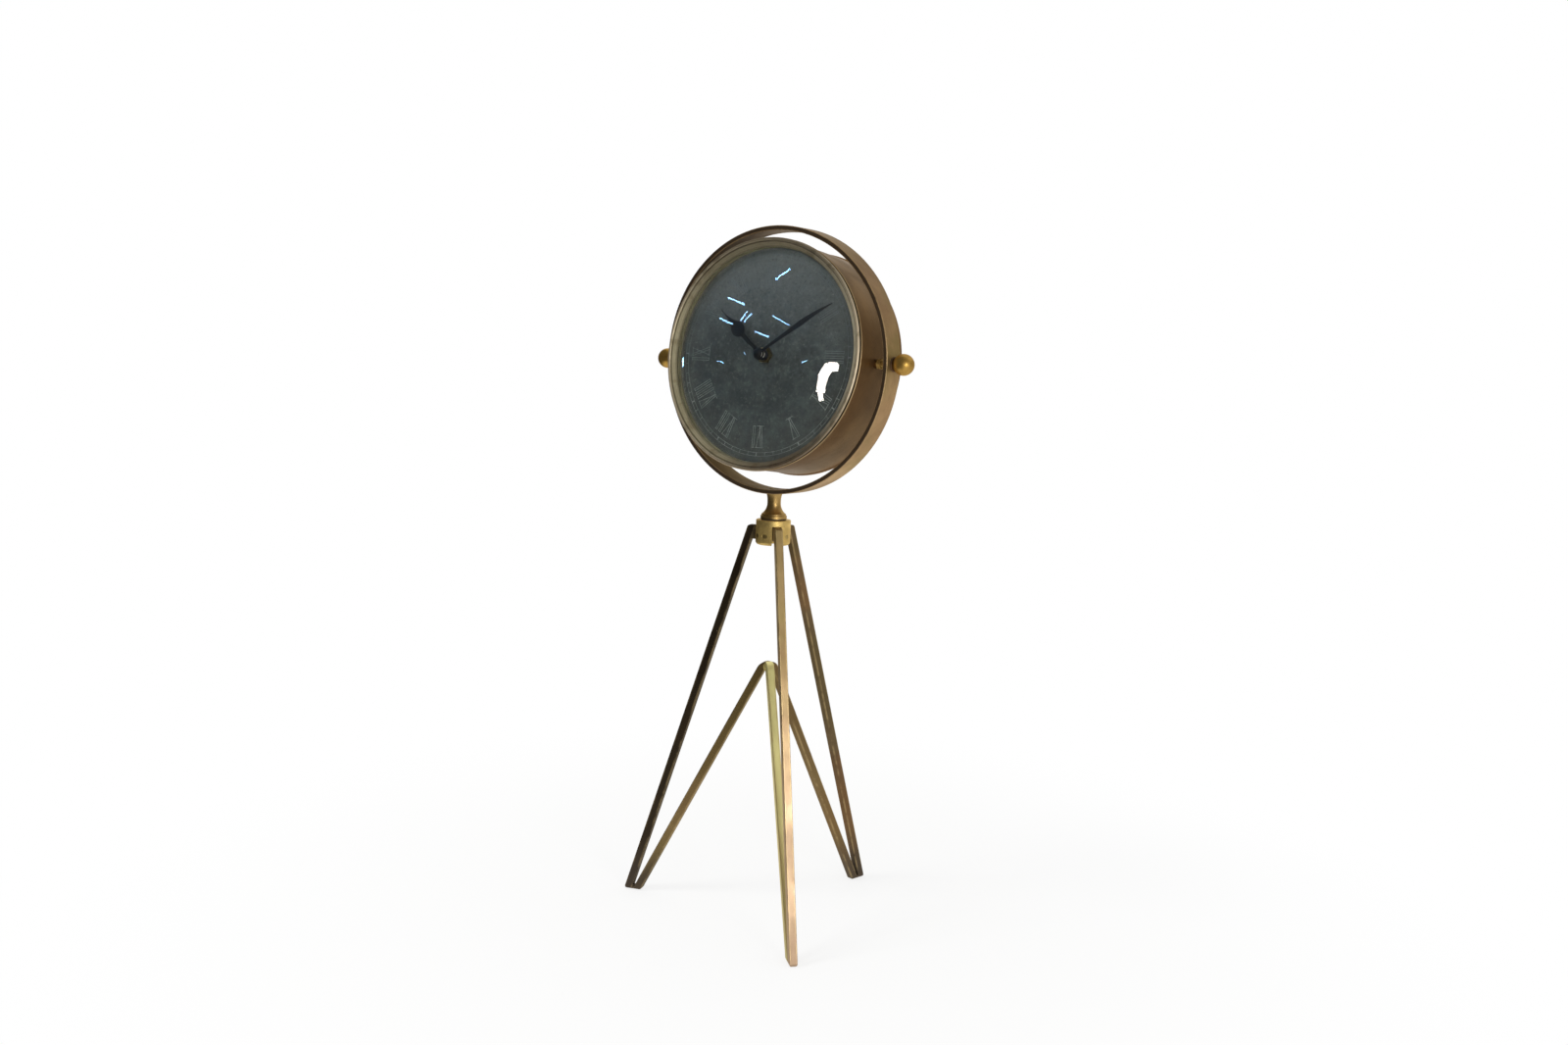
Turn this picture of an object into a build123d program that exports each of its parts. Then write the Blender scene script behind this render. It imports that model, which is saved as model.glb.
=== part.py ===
"""Table clock on a tripod stand: a drum clock tilting in a hoop, on a turned neck, a slotted hub and three bent legs.

Millimetres, +Z up. The origin is on the floor, on the tripod's axis. The dial faces -Y, leaning back by the drum's tilt.
The drum's pieces are made upright about the drum's axis, a place in front of the pivot axis being a distance toward
the viewer, and are then lifted and tilted together.
"""
from build123d import *
import os
from math import acos, asin, atan2, cos, hypot, pi, radians, sin, sqrt, tan

os.makedirs("parts", exist_ok=True)

# Pose
pivot_height = 426.0
drum_tilt = 6.0
head_to_leg_angle = 47.7
legs_count = 3
hour_hand_angle = 310.0
minute_hand_angle = 57.3

# Clearances
running_clearance = 0.06
thread_clearance = 0.05
press_gap = 0.05
face_play = 0.05
overrun = 2.0

# Hoop
hoop_side_gap = 11.3
hoop_thickness = 3.5
hoop_width = 19.0
hoop_edge_chamfer = 0.4

# Neck and its two screws
neck_length = 18.9
neck_waist_radius = 5.15
neck_top_radius = 6.3
neck_disc_radius = 10.1
neck_disc_height = 2.6
neck_foot_radius = 9.4
neck_sweep_radius = 10.0
neck_waist_length = 1.9
neck_edge_round = 0.6
hoop_screw_radius = 2.0
hoop_screw_length = 11.0
hoop_screw_head_radius = 3.9
hoop_screw_head_height = 1.9
hoop_screw_slot_width = 0.9
hoop_screw_slot_depth = 0.7
swivel_screw_radius = 2.5
swivel_screw_grip = 7.5
swivel_head_radius = 4.2
swivel_head_height = 3.4
swivel_key_radius = 1.7
swivel_key_depth = 1.8
spring_washer_thickness = 1.2
neck_washer_radius = 9.7
neck_washer_thickness = 0.9
screw_bottom_gap = 1.0

# Hub
hub_radius = 13.3
hub_height = 19.2
hub_web = 4.4
hub_bore_radius = 4.6
hub_foot_round = 2.6
hub_top_chamfer = 0.5
slot_side_clearance = 0.5
slot_top_clearance = 0.4
leg_pin_radius = 1.5
leg_pin_reach = 9.8
leg_pin_inset = 0.15

# Legs
bar = 6.0
bar_chamfer = 0.5
foot_reach = 111.7
foot_bar_spacing = 7.5
knuckle_reach = 16.45
tongue_height = 10.8
tongue_end_gap = 0.8
tongue_pin_edge = 3.5
knuckle_round = 2.4
apex_height = 196.2
apex_bend_radius = 6.4
crotch_height = 3.4
foot_toe_round = 2.0
foot_heel_round = 3.5
foot_side_round = 2.2

# Pivots, from the drum's wall outwards
boss_radius = 3.3
boss_collar_height = 2.2
boss_flange_radius = 7.5
boss_flange_thickness = 1.6
pivot_radius = 2.0
pivot_inner_length = 5.0
lock_nut_flats = 7.0
lock_nut_thickness = 3.2
sleeve_radius = 3.0
sleeve_end_gap = 0.15
knob_washer_radius = 5.4
knob_washer_thickness = 0.8
knob_radius = 7.8
knob_foot_radius = 4.2
knob_stand = 8.2
knob_tip_wall = 2.0

# Drum case
drum_lift = 2.0
case_radius = 85.2
case_wall = 1.2
case_front = 23.2
case_rear = 36.0
front_bead_step = 1.4
front_bead_height = 1.3
front_bead_slope = 0.8
rear_bead_step = 0.9
rear_bead_height = 3.8
ledge_width = 3.5
ledge_thickness = 1.2
ledge_face = 16.7

# Bezel
bezel_step = 1.2
bezel_front = 27.0
bezel_roll_radius = 1.3
bezel_groove_depth = 1.6
bezel_face_width = 6.4
bezel_slope_width = 3.3
bezel_slope_rise = 1.4
bezel_lip_front = 23.5
bezel_lip_rear = 22.7
bezel_skirt_wall = 1.1
bezel_skirt_rear = 17.8

# Glass, sight ring and dial
glass_bulge = 19.0
glass_thickness = 1.6
glass_edge_gap = 0.4
glass_front_gap = 0.2
sight_ring_width = 2.6
sight_ring_step = 0.9
sight_ring_gap = 0.25
dial_thickness = 0.8
dial_edge_gap = 0.4
dial_hole_radius = 4.2

# Back cover, lugs and screws
cover_thickness = 1.2
cover_rim_depth = 1.8
cover_rim_width = 12.5
cover_step_rise = 2.0
cover_step_run = 3.0
cover_hole_radius = 24.0
cover_hole_lip = 1.2
cover_edge_gap = 0.3
lug_count = 3
lug_first_angle = 90.0
lug_length = 7.4
lug_width = 12.0
lug_height = 3.5
cover_screw_radius = 1.5
cover_screw_inset = 4.4
cover_screw_head_radius = 2.8
cover_screw_head_height = 1.5
cover_screw_slot_width = 0.7
cover_screw_slot_depth = 0.6

# Movement housing
rubber_washer_radius = 13.0
rubber_washer_thickness = 1.0
housing_half_width = 28.3
housing_top = 28.0
housing_bottom = 27.8
housing_corner = 2.5
housing_depth = 16.0
housing_wall = 1.5
gear_room_depth = 4.8
gear_room_radius = 11.2
collar_radius = 4.0
collar_length = 7.0
collar_nut_flats = 11.0
collar_nut_thickness = 2.5
snap_tab_width = 6.0
snap_tab_thickness = 1.0
snap_tab_length = 5.0
bay_half_length = 26.8
bay_top = 12.2
bay_bottom = 27.0
battery_radius = 7.1
battery_length = 49.5
battery_nub_radius = 2.7
battery_nub_length = 1.0
contact_thickness = 0.4
contact_half_width = 5.0
contact_spring_radius = 3.2

# Motion work
module_fast = 0.5
module_slow = 0.48
cannon_teeth = 12
minute_wheel_teeth = 36
minute_pinion_teeth = 10
hour_wheel_teeth = 40
setting_teeth = 12
pressure_angle = 20.0
tooth_play = 0.2
tip_share = 0.8
root_share = 1.25
minute_wheel_direction = 150.0
setting_direction = 120.0
wheel_thickness = 1.1
wheel_side_gap = 0.35
arbor_radius = 1.6
hour_tube_radius = 2.9
hour_tube_bore_clearance = 0.08
minute_post_radius = 0.9
setting_shaft_radius = 1.4
setting_knob_radius = 5.5
setting_knob_height = 4.0
setting_knob_gap = 0.6
setting_knob_flutes = 12
setting_flute_radius = 0.7
arbor_pivot_depth = 3.0

# Hands
hand_thickness = 0.5
hour_hand_height = 7.9
minute_hand_height = 9.8
hour_hand_shortfall = 20.0
hour_hand_width = 11.4
hour_stem_width = 3.4
hour_boss_radius = 4.3
minute_tip_gap = 9.8
minute_bend_run = 24.8
minute_tip_drop = 3.6
minute_hand_width = 4.2
minute_stem_width = 2.0
minute_boss_radius = 3.4
cap_radius = 4.0
cap_height = 1.7
hand_tip_width = 0.4

# Hand outlines: across as shares of the hand's width, along as shares of its length
spade_neck_share = 0.44
spade_lobe_share = (0.48, 0.54)
spade_shoulder_share = (0.3, 0.67)
spade_waist_share = (0.1, 0.8)
lance_root_share = (0.24, 0.06)
lance_rise_share = (0.32, 0.35)
lance_side_share = (0.5, 0.61)
lance_fall_share = (0.3, 0.82)

# Radii around the drum
case_inner_radius = case_radius - case_wall
front_bead_radius = case_radius + front_bead_step
rear_bead_radius = case_radius + rear_bead_step
hoop_radius = case_radius + hoop_side_gap + hoop_thickness

# Heights along the stand, from the hoop down to the legs
neck_top = pivot_height - hoop_radius
neck_bottom = neck_top - neck_length
hub_top = neck_bottom - neck_washer_thickness - face_play
hub_bottom = hub_top - hub_height
hub_web_bottom = hub_top - hub_web
slot_half_width = bar / 2 + slot_side_clearance
tongue_top = hub_web_bottom - slot_top_clearance
tongue_bottom = tongue_top - tongue_height
leg_pin_height = tongue_bottom + tongue_pin_edge
front_leg_angle = head_to_leg_angle - 90
leg_spacing = 360 / legs_count

# Radii and places in front of the pivot axis, in the drum
dial_radius = case_inner_radius - dial_edge_gap
dial_face = ledge_face + dial_thickness
bezel_radius = case_radius + bezel_step
bezel_inner_radius = bezel_radius - bezel_face_width
bezel_rear = bezel_front - 2 * bezel_roll_radius
bezel_skirt_outer = case_inner_radius - press_gap
bezel_skirt_inner = bezel_skirt_outer - bezel_skirt_wall
glass_radius = bezel_skirt_inner - glass_edge_gap
glass_sphere_radius = (glass_radius ** 2 + glass_bulge ** 2) / (2 * glass_bulge)
lip_sag = glass_sphere_radius - sqrt(glass_sphere_radius ** 2 - bezel_inner_radius ** 2)
glass_crown = bezel_lip_rear - glass_front_gap + lip_sag
washer_rear = ledge_face - rubber_washer_thickness
housing_front = washer_rear
housing_rear = housing_front - housing_depth
room_front = housing_front - housing_wall
room_rear = room_front - gear_room_depth
cover_outer_face = cover_rim_depth - case_rear
cover_inner_face = cover_outer_face + cover_thickness
cover_radius = case_inner_radius - cover_edge_gap
cover_screw_reach = case_inner_radius - cover_screw_inset
sight_ring_outer = glass_radius - sight_ring_gap
sight_ring_inner = sight_ring_outer - sight_ring_width
minute_hand_length = sight_ring_inner - minute_tip_gap
minute_bend_start = minute_hand_length - minute_bend_run
hour_hand_length = minute_hand_length - hour_hand_shortfall

# Pivot places, out from the drum's axis
boss_face = case_radius + boss_collar_height
nut_face = boss_face + lock_nut_thickness
sleeve_face = hoop_radius - hoop_thickness - sleeve_end_gap
knob_washer_inner = hoop_radius + face_play
knob_base = knob_washer_inner + knob_washer_thickness
knob_reach = hoop_radius + knob_stand

# Gear centres, seen from the front
minute_wheel_distance = module_fast * (cannon_teeth + minute_wheel_teeth) / 2
setting_distance = module_fast * (minute_wheel_teeth + setting_teeth) / 2


def polar(distance, angle):
    """A point at a distance and an angle in degrees."""
    return (distance * cos(radians(angle)), distance * sin(radians(angle)))


def plus(first, second):
    return (first[0] + second[0], first[1] + second[1])


minute_wheel_centre = polar(minute_wheel_distance, minute_wheel_direction)
setting_centre = plus(minute_wheel_centre, polar(setting_distance, setting_direction))

drum_place = Location((0, 0, pivot_height)) * Rotation(-drum_tilt, 0, 0) * Location((0, 0, drum_lift))
pivot_place = Location((0, 0, pivot_height)) * Rotation(-drum_tilt, 0, 0)

nodes = {}


def outline_face(*edges):
    """A flat face inside a closed run of edges."""
    return make_face(Curve() + list(edges))


def turned_upright(face):
    """A piece turned about the tripod's axis, from an outline of radius and height."""
    return revolve(Plane.XZ * face, Axis.Z)


def turned_drum(face):
    """A piece turned about the drum's axis, from an outline of radius and distance in front of the pivot axis."""
    drum_section = Plane(origin=(0, 0, 0), x_dir=(1, 0, 0), z_dir=(0, 0, -1))
    return revolve(drum_section * face, Axis.Y)


def slab(face, rear, front):
    """A flat piece in the drum, seen from the front, between two distances in front of the pivot axis."""
    return extrude(Plane.XZ.offset(rear) * face, amount=front - rear)


def ring(outer, inner):
    return Circle(outer) - Circle(inner)


def across(radius, start, end):
    """A cylinder along the pivot axis, on the right side."""
    return extrude(Plane.YZ.offset(start) * Circle(radius), amount=end - start)


def both_sides(piece):
    """The right piece with its mirror image on the left."""
    return [piece, piece.mirror(Plane.YZ)]


def keep(name, *pieces):
    """Collects a node's solids."""
    solids = [solid for piece in pieces for solid in piece.solids()]
    nodes[name] = solids[0] if len(solids) == 1 else Compound(children=solids)


def near(shape_list, point, reach):
    """The vertices within a reach of a point."""
    return [item for item in shape_list if (item.center() - Vector(*point)).length < reach]


def make_hoop():
    inner_radius = hoop_radius - hoop_thickness
    band = extrude(Plane.XZ * ring(hoop_radius, inner_radius), amount=hoop_width / 2, both=True)
    rims = band.edges().filter_by(GeomType.CIRCLE)
    band = chamfer(rims, hoop_edge_chamfer)
    band = Pos(0, 0, pivot_height) * band
    pivot_bore = Cylinder(pivot_radius + running_clearance, 2 * (hoop_radius + overrun), rotation=(0, 90, 0))
    band -= Pos(0, 0, pivot_height) * pivot_bore
    band -= hoop_screw(thread_clearance)
    keep("hoop", band)


def hoop_screw(clearance=0.0):
    """Countersunk screw from inside the hoop's lowest point down into the neck."""
    face_height = neck_top + hoop_thickness - hoop_edge_chamfer
    head_radius = hoop_screw_head_radius + clearance
    shank_radius = hoop_screw_radius + clearance
    head_bottom = face_height - hoop_screw_head_height
    top = face_height + (overrun if clearance else 0)
    outline = Polyline(
        (0, face_height - hoop_screw_length - clearance),
        (shank_radius, face_height - hoop_screw_length - clearance),
        (shank_radius, head_bottom),
        (head_radius, face_height),
        (head_radius, top),
        (0, top),
        close=True,
    ) if clearance else Polyline(
        (0, face_height - hoop_screw_length),
        (shank_radius, face_height - hoop_screw_length),
        (shank_radius, head_bottom),
        (head_radius, face_height),
        (0, face_height),
        close=True,
    )
    screw = turned_upright(make_face(outline))
    if not clearance:
        slot = Box(2 * (head_radius + overrun), hoop_screw_slot_width, 2 * hoop_screw_slot_depth)
        screw -= Pos(0, 0, face_height) * slot
    return screw


def make_neck():
    """Turned neck: base disc, concave sweep up to a waist, and a flare that fits the hoop's outer face."""
    waist_top = neck_top - (neck_length - neck_disc_height) / 3
    sweep_centre = (neck_waist_radius + neck_sweep_radius, waist_top - neck_waist_length)
    foot_rise = sqrt(neck_sweep_radius ** 2 - (sweep_centre[0] - neck_foot_radius) ** 2)
    foot = (neck_foot_radius, sweep_centre[1] - foot_rise)
    waist_bottom = (neck_waist_radius, sweep_centre[1])
    disc_top = neck_bottom + neck_disc_height
    top = neck_top + neck_edge_round
    flare_run = neck_top_radius - neck_waist_radius
    flare_rise = top - waist_top
    flare_radius = (flare_run ** 2 + flare_rise ** 2) / (2 * flare_run)
    body = turned_upright(outline_face(
        Line((0, neck_bottom), (neck_disc_radius, neck_bottom)),
        Line((neck_disc_radius, neck_bottom), (neck_disc_radius, disc_top - neck_edge_round)),
        Line((neck_disc_radius, disc_top - neck_edge_round), (neck_foot_radius, disc_top)),
        Line((neck_foot_radius, disc_top), foot),
        RadiusArc(foot, waist_bottom, neck_sweep_radius),
        Line(waist_bottom, (neck_waist_radius, waist_top)),
        RadiusArc((neck_waist_radius, waist_top), (neck_top_radius, top), flare_radius),
        Line((neck_top_radius, top), (0, top)),
        Line((0, top), (0, neck_bottom)),
    ))
    hoop_outside = Cylinder(hoop_radius, hoop_width + overrun, rotation=(90, 0, 0))
    body -= Pos(0, 0, pivot_height) * hoop_outside
    body -= hoop_screw(thread_clearance)
    bore_depth = swivel_screw_grip + screw_bottom_gap
    bore = Cylinder(swivel_screw_radius + thread_clearance, bore_depth, align=(Align.CENTER, Align.CENTER, Align.MIN))
    body -= Pos(0, 0, neck_bottom) * bore
    keep("neck", body)
    keep("hoop_screw", hoop_screw())


def make_swivel():
    """Dark washer under the neck, and the screw and spring washer that hold the neck down on the hub."""
    washer = turned_upright(Pos((neck_washer_radius + swivel_screw_radius + thread_clearance) / 2,
                                neck_bottom - neck_washer_thickness / 2)
                            * Rectangle(neck_washer_radius - swivel_screw_radius - thread_clearance,
                                        neck_washer_thickness))
    keep("neck_washer", washer)
    washer_top = hub_web_bottom - face_play
    washer_bottom = washer_top - spring_washer_thickness
    inner = swivel_screw_radius + thread_clearance
    spring = extrude(Plane.XY.offset(washer_bottom) * ring(swivel_head_radius, inner), amount=spring_washer_thickness)
    keep("swivel_spring_washer", spring)
    head_bottom = washer_bottom - swivel_head_height
    shank = extrude(Plane.XY.offset(washer_bottom) * Circle(swivel_screw_radius),
                    amount=neck_bottom + swivel_screw_grip - washer_bottom)
    head = extrude(Plane.XY.offset(head_bottom) * Circle(swivel_head_radius), amount=swivel_head_height)
    key = extrude(Plane.XY.offset(head_bottom) * RegularPolygon(swivel_key_radius, 6), amount=swivel_key_depth)
    keep("swivel_screw", shank + head - key)


def leg_angles():
    return [front_leg_angle + leg_spacing * step for step in range(legs_count)]


def leg_pin(angle, radius, reach):
    """A pin across one slot of the hub, square to the leg."""
    pin = Cylinder(radius, 2 * reach, rotation=(90, 0, 0))
    return Rotation(0, 0, angle) * Pos(leg_pin_reach, 0, leg_pin_height) * pin


def make_hub():
    outline = Pos(hub_radius / 2, (hub_top + hub_bottom) / 2) * Rectangle(hub_radius, hub_height)
    outline = fillet(near(outline.vertices(), (hub_radius, hub_bottom), hub_foot_round), hub_foot_round)
    outline = chamfer(near(outline.vertices(), (hub_radius, hub_top), hub_top_chamfer), hub_top_chamfer)
    hub = turned_upright(outline)
    bore_height = hub_web_bottom - hub_bottom
    hub -= extrude(Plane.XY.offset(hub_bottom) * Circle(hub_bore_radius), amount=bore_height)
    hub -= extrude(Plane.XY.offset(hub_bottom) * Circle(swivel_screw_radius + running_clearance), amount=hub_height)
    for angle in leg_angles():
        slot = Box(hub_radius + overrun, 2 * slot_half_width, bore_height,
                   align=(Align.MIN, Align.CENTER, Align.MIN))
        hub -= Rotation(0, 0, angle) * Pos(0, 0, hub_bottom) * slot
        hub -= leg_pin(angle, leg_pin_radius + press_gap, hub_radius)
    keep("hub", hub)
    skin = Pos(0, 0, (hub_top + hub_bottom) / 2) * Cylinder(hub_radius - leg_pin_inset, hub_height)
    keep("leg_pins", *[leg_pin(angle, leg_pin_radius, hub_radius) & skin for angle in leg_angles()])


def leg_outline():
    """Side view of one leg: tongue, outer bar, V foot, inner arm and the bend that ends at the axis."""
    half = bar / 2
    outer_lean = atan2(foot_reach - knuckle_reach, tongue_top)
    inner_foot = foot_reach - foot_bar_spacing
    bend_height = apex_height - half - apex_bend_radius
    reach = hypot(inner_foot, bend_height)
    inner_lean = acos(apex_bend_radius / reach) - atan2(bend_height, inner_foot)

    def outer_bar(height, side):
        return foot_reach - height * tan(outer_lean) + side * half / cos(outer_lean)

    def inner_arm(height, side):
        return inner_foot - height * tan(inner_lean) + side * half / cos(inner_lean)

    def bend(radius):
        return (radius * cos(inner_lean), bend_height + radius * sin(inner_lean))

    def bend_middle(radius):
        angle = (inner_lean + pi / 2) / 2
        return (radius * cos(angle), bend_height + radius * sin(angle))

    tongue_end = hub_bore_radius + tongue_end_gap
    outside = apex_bend_radius + half
    inside = apex_bend_radius - half
    crotch_outer = (outer_bar(crotch_height, -1), crotch_height)
    crotch_inner = (inner_arm(crotch_height, 1), crotch_height)
    crotch_middle = ((crotch_outer[0] + crotch_inner[0]) / 2, crotch_height - (crotch_outer[0] - crotch_inner[0]) / 2)
    toe = (outer_bar(0, 1), 0)
    heel = (inner_arm(0, -1), 0)
    knuckle = (outer_bar(tongue_top, 1), tongue_top)
    elbow = (outer_bar(tongue_bottom, -1), tongue_bottom)
    face = outline_face(
        Line(heel, toe),
        Line(toe, knuckle),
        Line(knuckle, (tongue_end, tongue_top)),
        Line((tongue_end, tongue_top), (tongue_end, tongue_bottom)),
        Line((tongue_end, tongue_bottom), elbow),
        Line(elbow, crotch_outer),
        ThreePointArc(crotch_outer, crotch_middle, crotch_inner),
        Line(crotch_inner, bend(outside)),
        ThreePointArc(bend(outside), bend_middle(outside), (0, bend_height + outside)),
        Line((0, bend_height + outside), (0, bend_height + inside)),
        ThreePointArc((0, bend_height + inside), bend_middle(inside), bend(inside)),
        Line(bend(inside), heel),
    )
    for corner, radius in ((toe, foot_toe_round), (heel, foot_heel_round), (knuckle, knuckle_round)):
        face = fillet(near(face.vertices(), corner, bar_chamfer), radius)
    return face


def make_legs():
    """Each leg is bent from one bar. The inner arms meet under the hub, mitred face to face and brazed."""
    leg = extrude(Plane.XZ * leg_outline(), amount=bar / 2, both=True)
    sides = [leg.faces().sort_by(Axis.Y)[0], leg.faces().sort_by(Axis.Y)[-1]]
    long_edges = [edge for side in sides for edge in side.edges()]
    long_edges = [edge for edge in long_edges if edge.center().X > bar or edge.center().Z > tongue_bottom]
    leg = chamfer(long_edges, bar_chamfer)
    end_view = Pos(0, tongue_top / 2 + overrun / 2) * Rectangle(bar, tongue_top + overrun)
    end_view = fillet(end_view.vertices().sort_by(Axis.Y)[:2], foot_side_round)
    leg &= extrude(Plane.YZ * end_view, amount=foot_reach + bar)
    wedge_reach = foot_reach + bar
    half_angle = radians(leg_spacing / 2)
    wedge = make_face(Polyline((0, 0), (wedge_reach * cos(half_angle), wedge_reach * sin(half_angle)),
                               (wedge_reach, 0),
                               (wedge_reach * cos(half_angle), -wedge_reach * sin(half_angle)), close=True))
    mitre_room = extrude(wedge, amount=tongue_top + overrun)
    leg &= mitre_room
    leg -= Pos(leg_pin_reach, 0, leg_pin_height) * Cylinder(leg_pin_radius + press_gap, 2 * bar, rotation=(90, 0, 0))
    for name, angle in zip(("leg_front", "leg_back", "leg_left"), leg_angles()):
        keep(name, Rotation(0, 0, angle) * leg)


def make_pivots():
    """Boss, stud, lock nut, sleeve, washer and footed ball knob on each side, all turning with the drum."""
    bore = pivot_radius + thread_clearance
    lowest = boss_flange_radius + drum_lift
    wall_inside = sqrt(case_inner_radius ** 2 - lowest ** 2) - press_gap
    flange_start = wall_inside - boss_flange_thickness
    boss = across(boss_flange_radius, flange_start, wall_inside) + across(boss_radius, flange_start, boss_face)
    boss -= across(bore, flange_start - overrun, boss_face + overrun)
    stud_end = knob_reach + knob_radius - knob_tip_wall - screw_bottom_gap
    stud = across(pivot_radius, flange_start - pivot_inner_length, stud_end)
    nut_blank = RegularPolygon(lock_nut_flats / 2, 6, major_radius=False) - Circle(bore)
    nut = extrude(Plane.YZ.offset(boss_face) * nut_blank, amount=lock_nut_thickness)
    sleeve = across(sleeve_radius, nut_face, sleeve_face) - across(bore, nut_face - overrun, sleeve_face + overrun)
    washer = across(knob_washer_radius, knob_washer_inner, knob_base)
    washer = chamfer(washer.faces().sort_by(Axis.X)[-1].edges(), knob_washer_thickness / 3)
    washer -= across(bore, knob_washer_inner - overrun, knob_base + overrun)
    ball = Pos(knob_reach, 0, 0) * Sphere(knob_radius)
    ball &= across(knob_radius + overrun, knob_base, knob_reach + knob_radius + overrun)
    ball += across(knob_foot_radius, knob_base, knob_reach)
    ball -= across(bore, knob_base - overrun, knob_reach + knob_radius - knob_tip_wall)
    for name, piece in (("pivot_bosses", boss), ("pivot_studs", stud), ("lock_nuts", nut),
                        ("spacer_sleeves", sleeve), ("knob_washers", washer), ("ball_knobs", ball)):
        keep(name, *both_sides(pivot_place * piece))


def make_case():
    """Spun drum: front bead, inner ledge for the dial, plain wall and a rolled rear bead."""
    bead_rear = front_bead_height + front_bead_slope
    bead_run = rear_bead_radius - case_radius
    rim_start = rear_bead_height - case_rear
    rim_middle = (rear_bead_radius, rear_bead_height / 2 - case_rear)
    ledge_inner = case_inner_radius - ledge_width
    half_bead = front_bead_height / 2
    wall = outline_face(
        Line((case_inner_radius, case_front), (front_bead_radius - half_bead, case_front)),
        ThreePointArc((front_bead_radius - half_bead, case_front),
                      (front_bead_radius, case_front - half_bead),
                      (front_bead_radius - half_bead, case_front - front_bead_height)),
        Line((front_bead_radius - half_bead, case_front - front_bead_height), (case_radius, case_front - bead_rear)),
        Line((case_radius, case_front - bead_rear), (case_radius, rim_start)),
        ThreePointArc((case_radius, rim_start), rim_middle, (case_radius, -case_rear)),
        Line((case_radius, -case_rear), (case_inner_radius, -case_rear)),
        Line((case_inner_radius, -case_rear), (case_inner_radius, ledge_face - ledge_thickness)),
        Line((case_inner_radius, ledge_face - ledge_thickness), (ledge_inner, ledge_face - ledge_thickness)),
        Line((ledge_inner, ledge_face - ledge_thickness), (ledge_inner, ledge_face)),
        Line((ledge_inner, ledge_face), (case_inner_radius, ledge_face)),
        Line((case_inner_radius, ledge_face), (case_inner_radius, case_front)),
    )
    shell = turned_drum(wall)
    boss_bore = Cylinder(boss_radius + press_gap, 2 * (case_radius + overrun), rotation=(0, 90, 0))
    shell -= Pos(0, 0, -drum_lift) * boss_bore
    keep("case_shell", drum_place * shell)


def make_bezel():
    """Rolled outer edge, a groove, a slope down to the glass, and a skirt that grips inside the case."""
    roll_centre = (bezel_radius - bezel_roll_radius, bezel_front - bezel_roll_radius)
    roll_inner = roll_centre[0] - bezel_roll_radius
    groove = bezel_front - bezel_groove_depth
    roll_top = plus(roll_centre, polar(bezel_roll_radius, 135))
    slope_top = (bezel_inner_radius + bezel_slope_width, bezel_front - bezel_slope_rise)
    section = outline_face(
        Line((bezel_skirt_inner, bezel_skirt_rear), (bezel_skirt_outer, bezel_skirt_rear)),
        Line((bezel_skirt_outer, bezel_skirt_rear), (bezel_skirt_outer, bezel_rear)),
        Line((bezel_skirt_outer, bezel_rear), (roll_centre[0], bezel_rear)),
        ThreePointArc((roll_centre[0], bezel_rear), (bezel_radius, roll_centre[1]), (roll_centre[0], bezel_front)),
        ThreePointArc((roll_centre[0], bezel_front), roll_top, (roll_inner, roll_centre[1])),
        Line((roll_inner, roll_centre[1]), (roll_inner, groove)),
        Line((roll_inner, groove), slope_top),
        Line(slope_top, (bezel_inner_radius, bezel_lip_front)),
        Line((bezel_inner_radius, bezel_lip_front), (bezel_inner_radius, bezel_lip_rear)),
        Line((bezel_inner_radius, bezel_lip_rear), (bezel_skirt_inner, bezel_lip_rear)),
        Line((bezel_skirt_inner, bezel_lip_rear), (bezel_skirt_inner, bezel_skirt_rear)),
    )
    keep("bezel", drum_place * turned_drum(section))


def glass_front(radius):
    """Distance of the glass's outer face in front of the pivot axis, at a radius."""
    return glass_crown - glass_sphere_radius + sqrt(glass_sphere_radius ** 2 - radius ** 2)


def glass_back(radius):
    inner = glass_sphere_radius - glass_thickness
    return glass_crown - glass_sphere_radius + sqrt(inner ** 2 - radius ** 2)


def make_glass():
    middle = glass_radius / 2
    section = outline_face(
        ThreePointArc((0, glass_front(0)), (middle, glass_front(middle)), (glass_radius, glass_front(glass_radius))),
        Line((glass_radius, glass_front(glass_radius)), (glass_radius, glass_back(glass_radius))),
        ThreePointArc((glass_radius, glass_back(glass_radius)), (middle, glass_back(middle)), (0, glass_back(0))),
        Line((0, glass_back(0)), (0, glass_front(0))),
    )
    keep("glass", drum_place * turned_drum(section))


def make_dial():
    """Plain dial plate on the case's ledge, and the stepped ring that holds the glass off it."""
    plate = slab(ring(dial_radius, dial_hole_radius), ledge_face, dial_face)
    keep("dial", drum_place * plate)
    step_radius = sight_ring_inner + sight_ring_step
    step_front = dial_face + sight_ring_step
    ring_front = glass_back(glass_radius) - sight_ring_gap
    section = make_face(Polyline(
        (sight_ring_inner, dial_face),
        (sight_ring_outer, dial_face),
        (sight_ring_outer, ring_front),
        (step_radius, ring_front),
        (step_radius, step_front),
        (sight_ring_inner, step_front),
        close=True,
    ))
    keep("sight_ring", drum_place * turned_drum(section))


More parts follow.
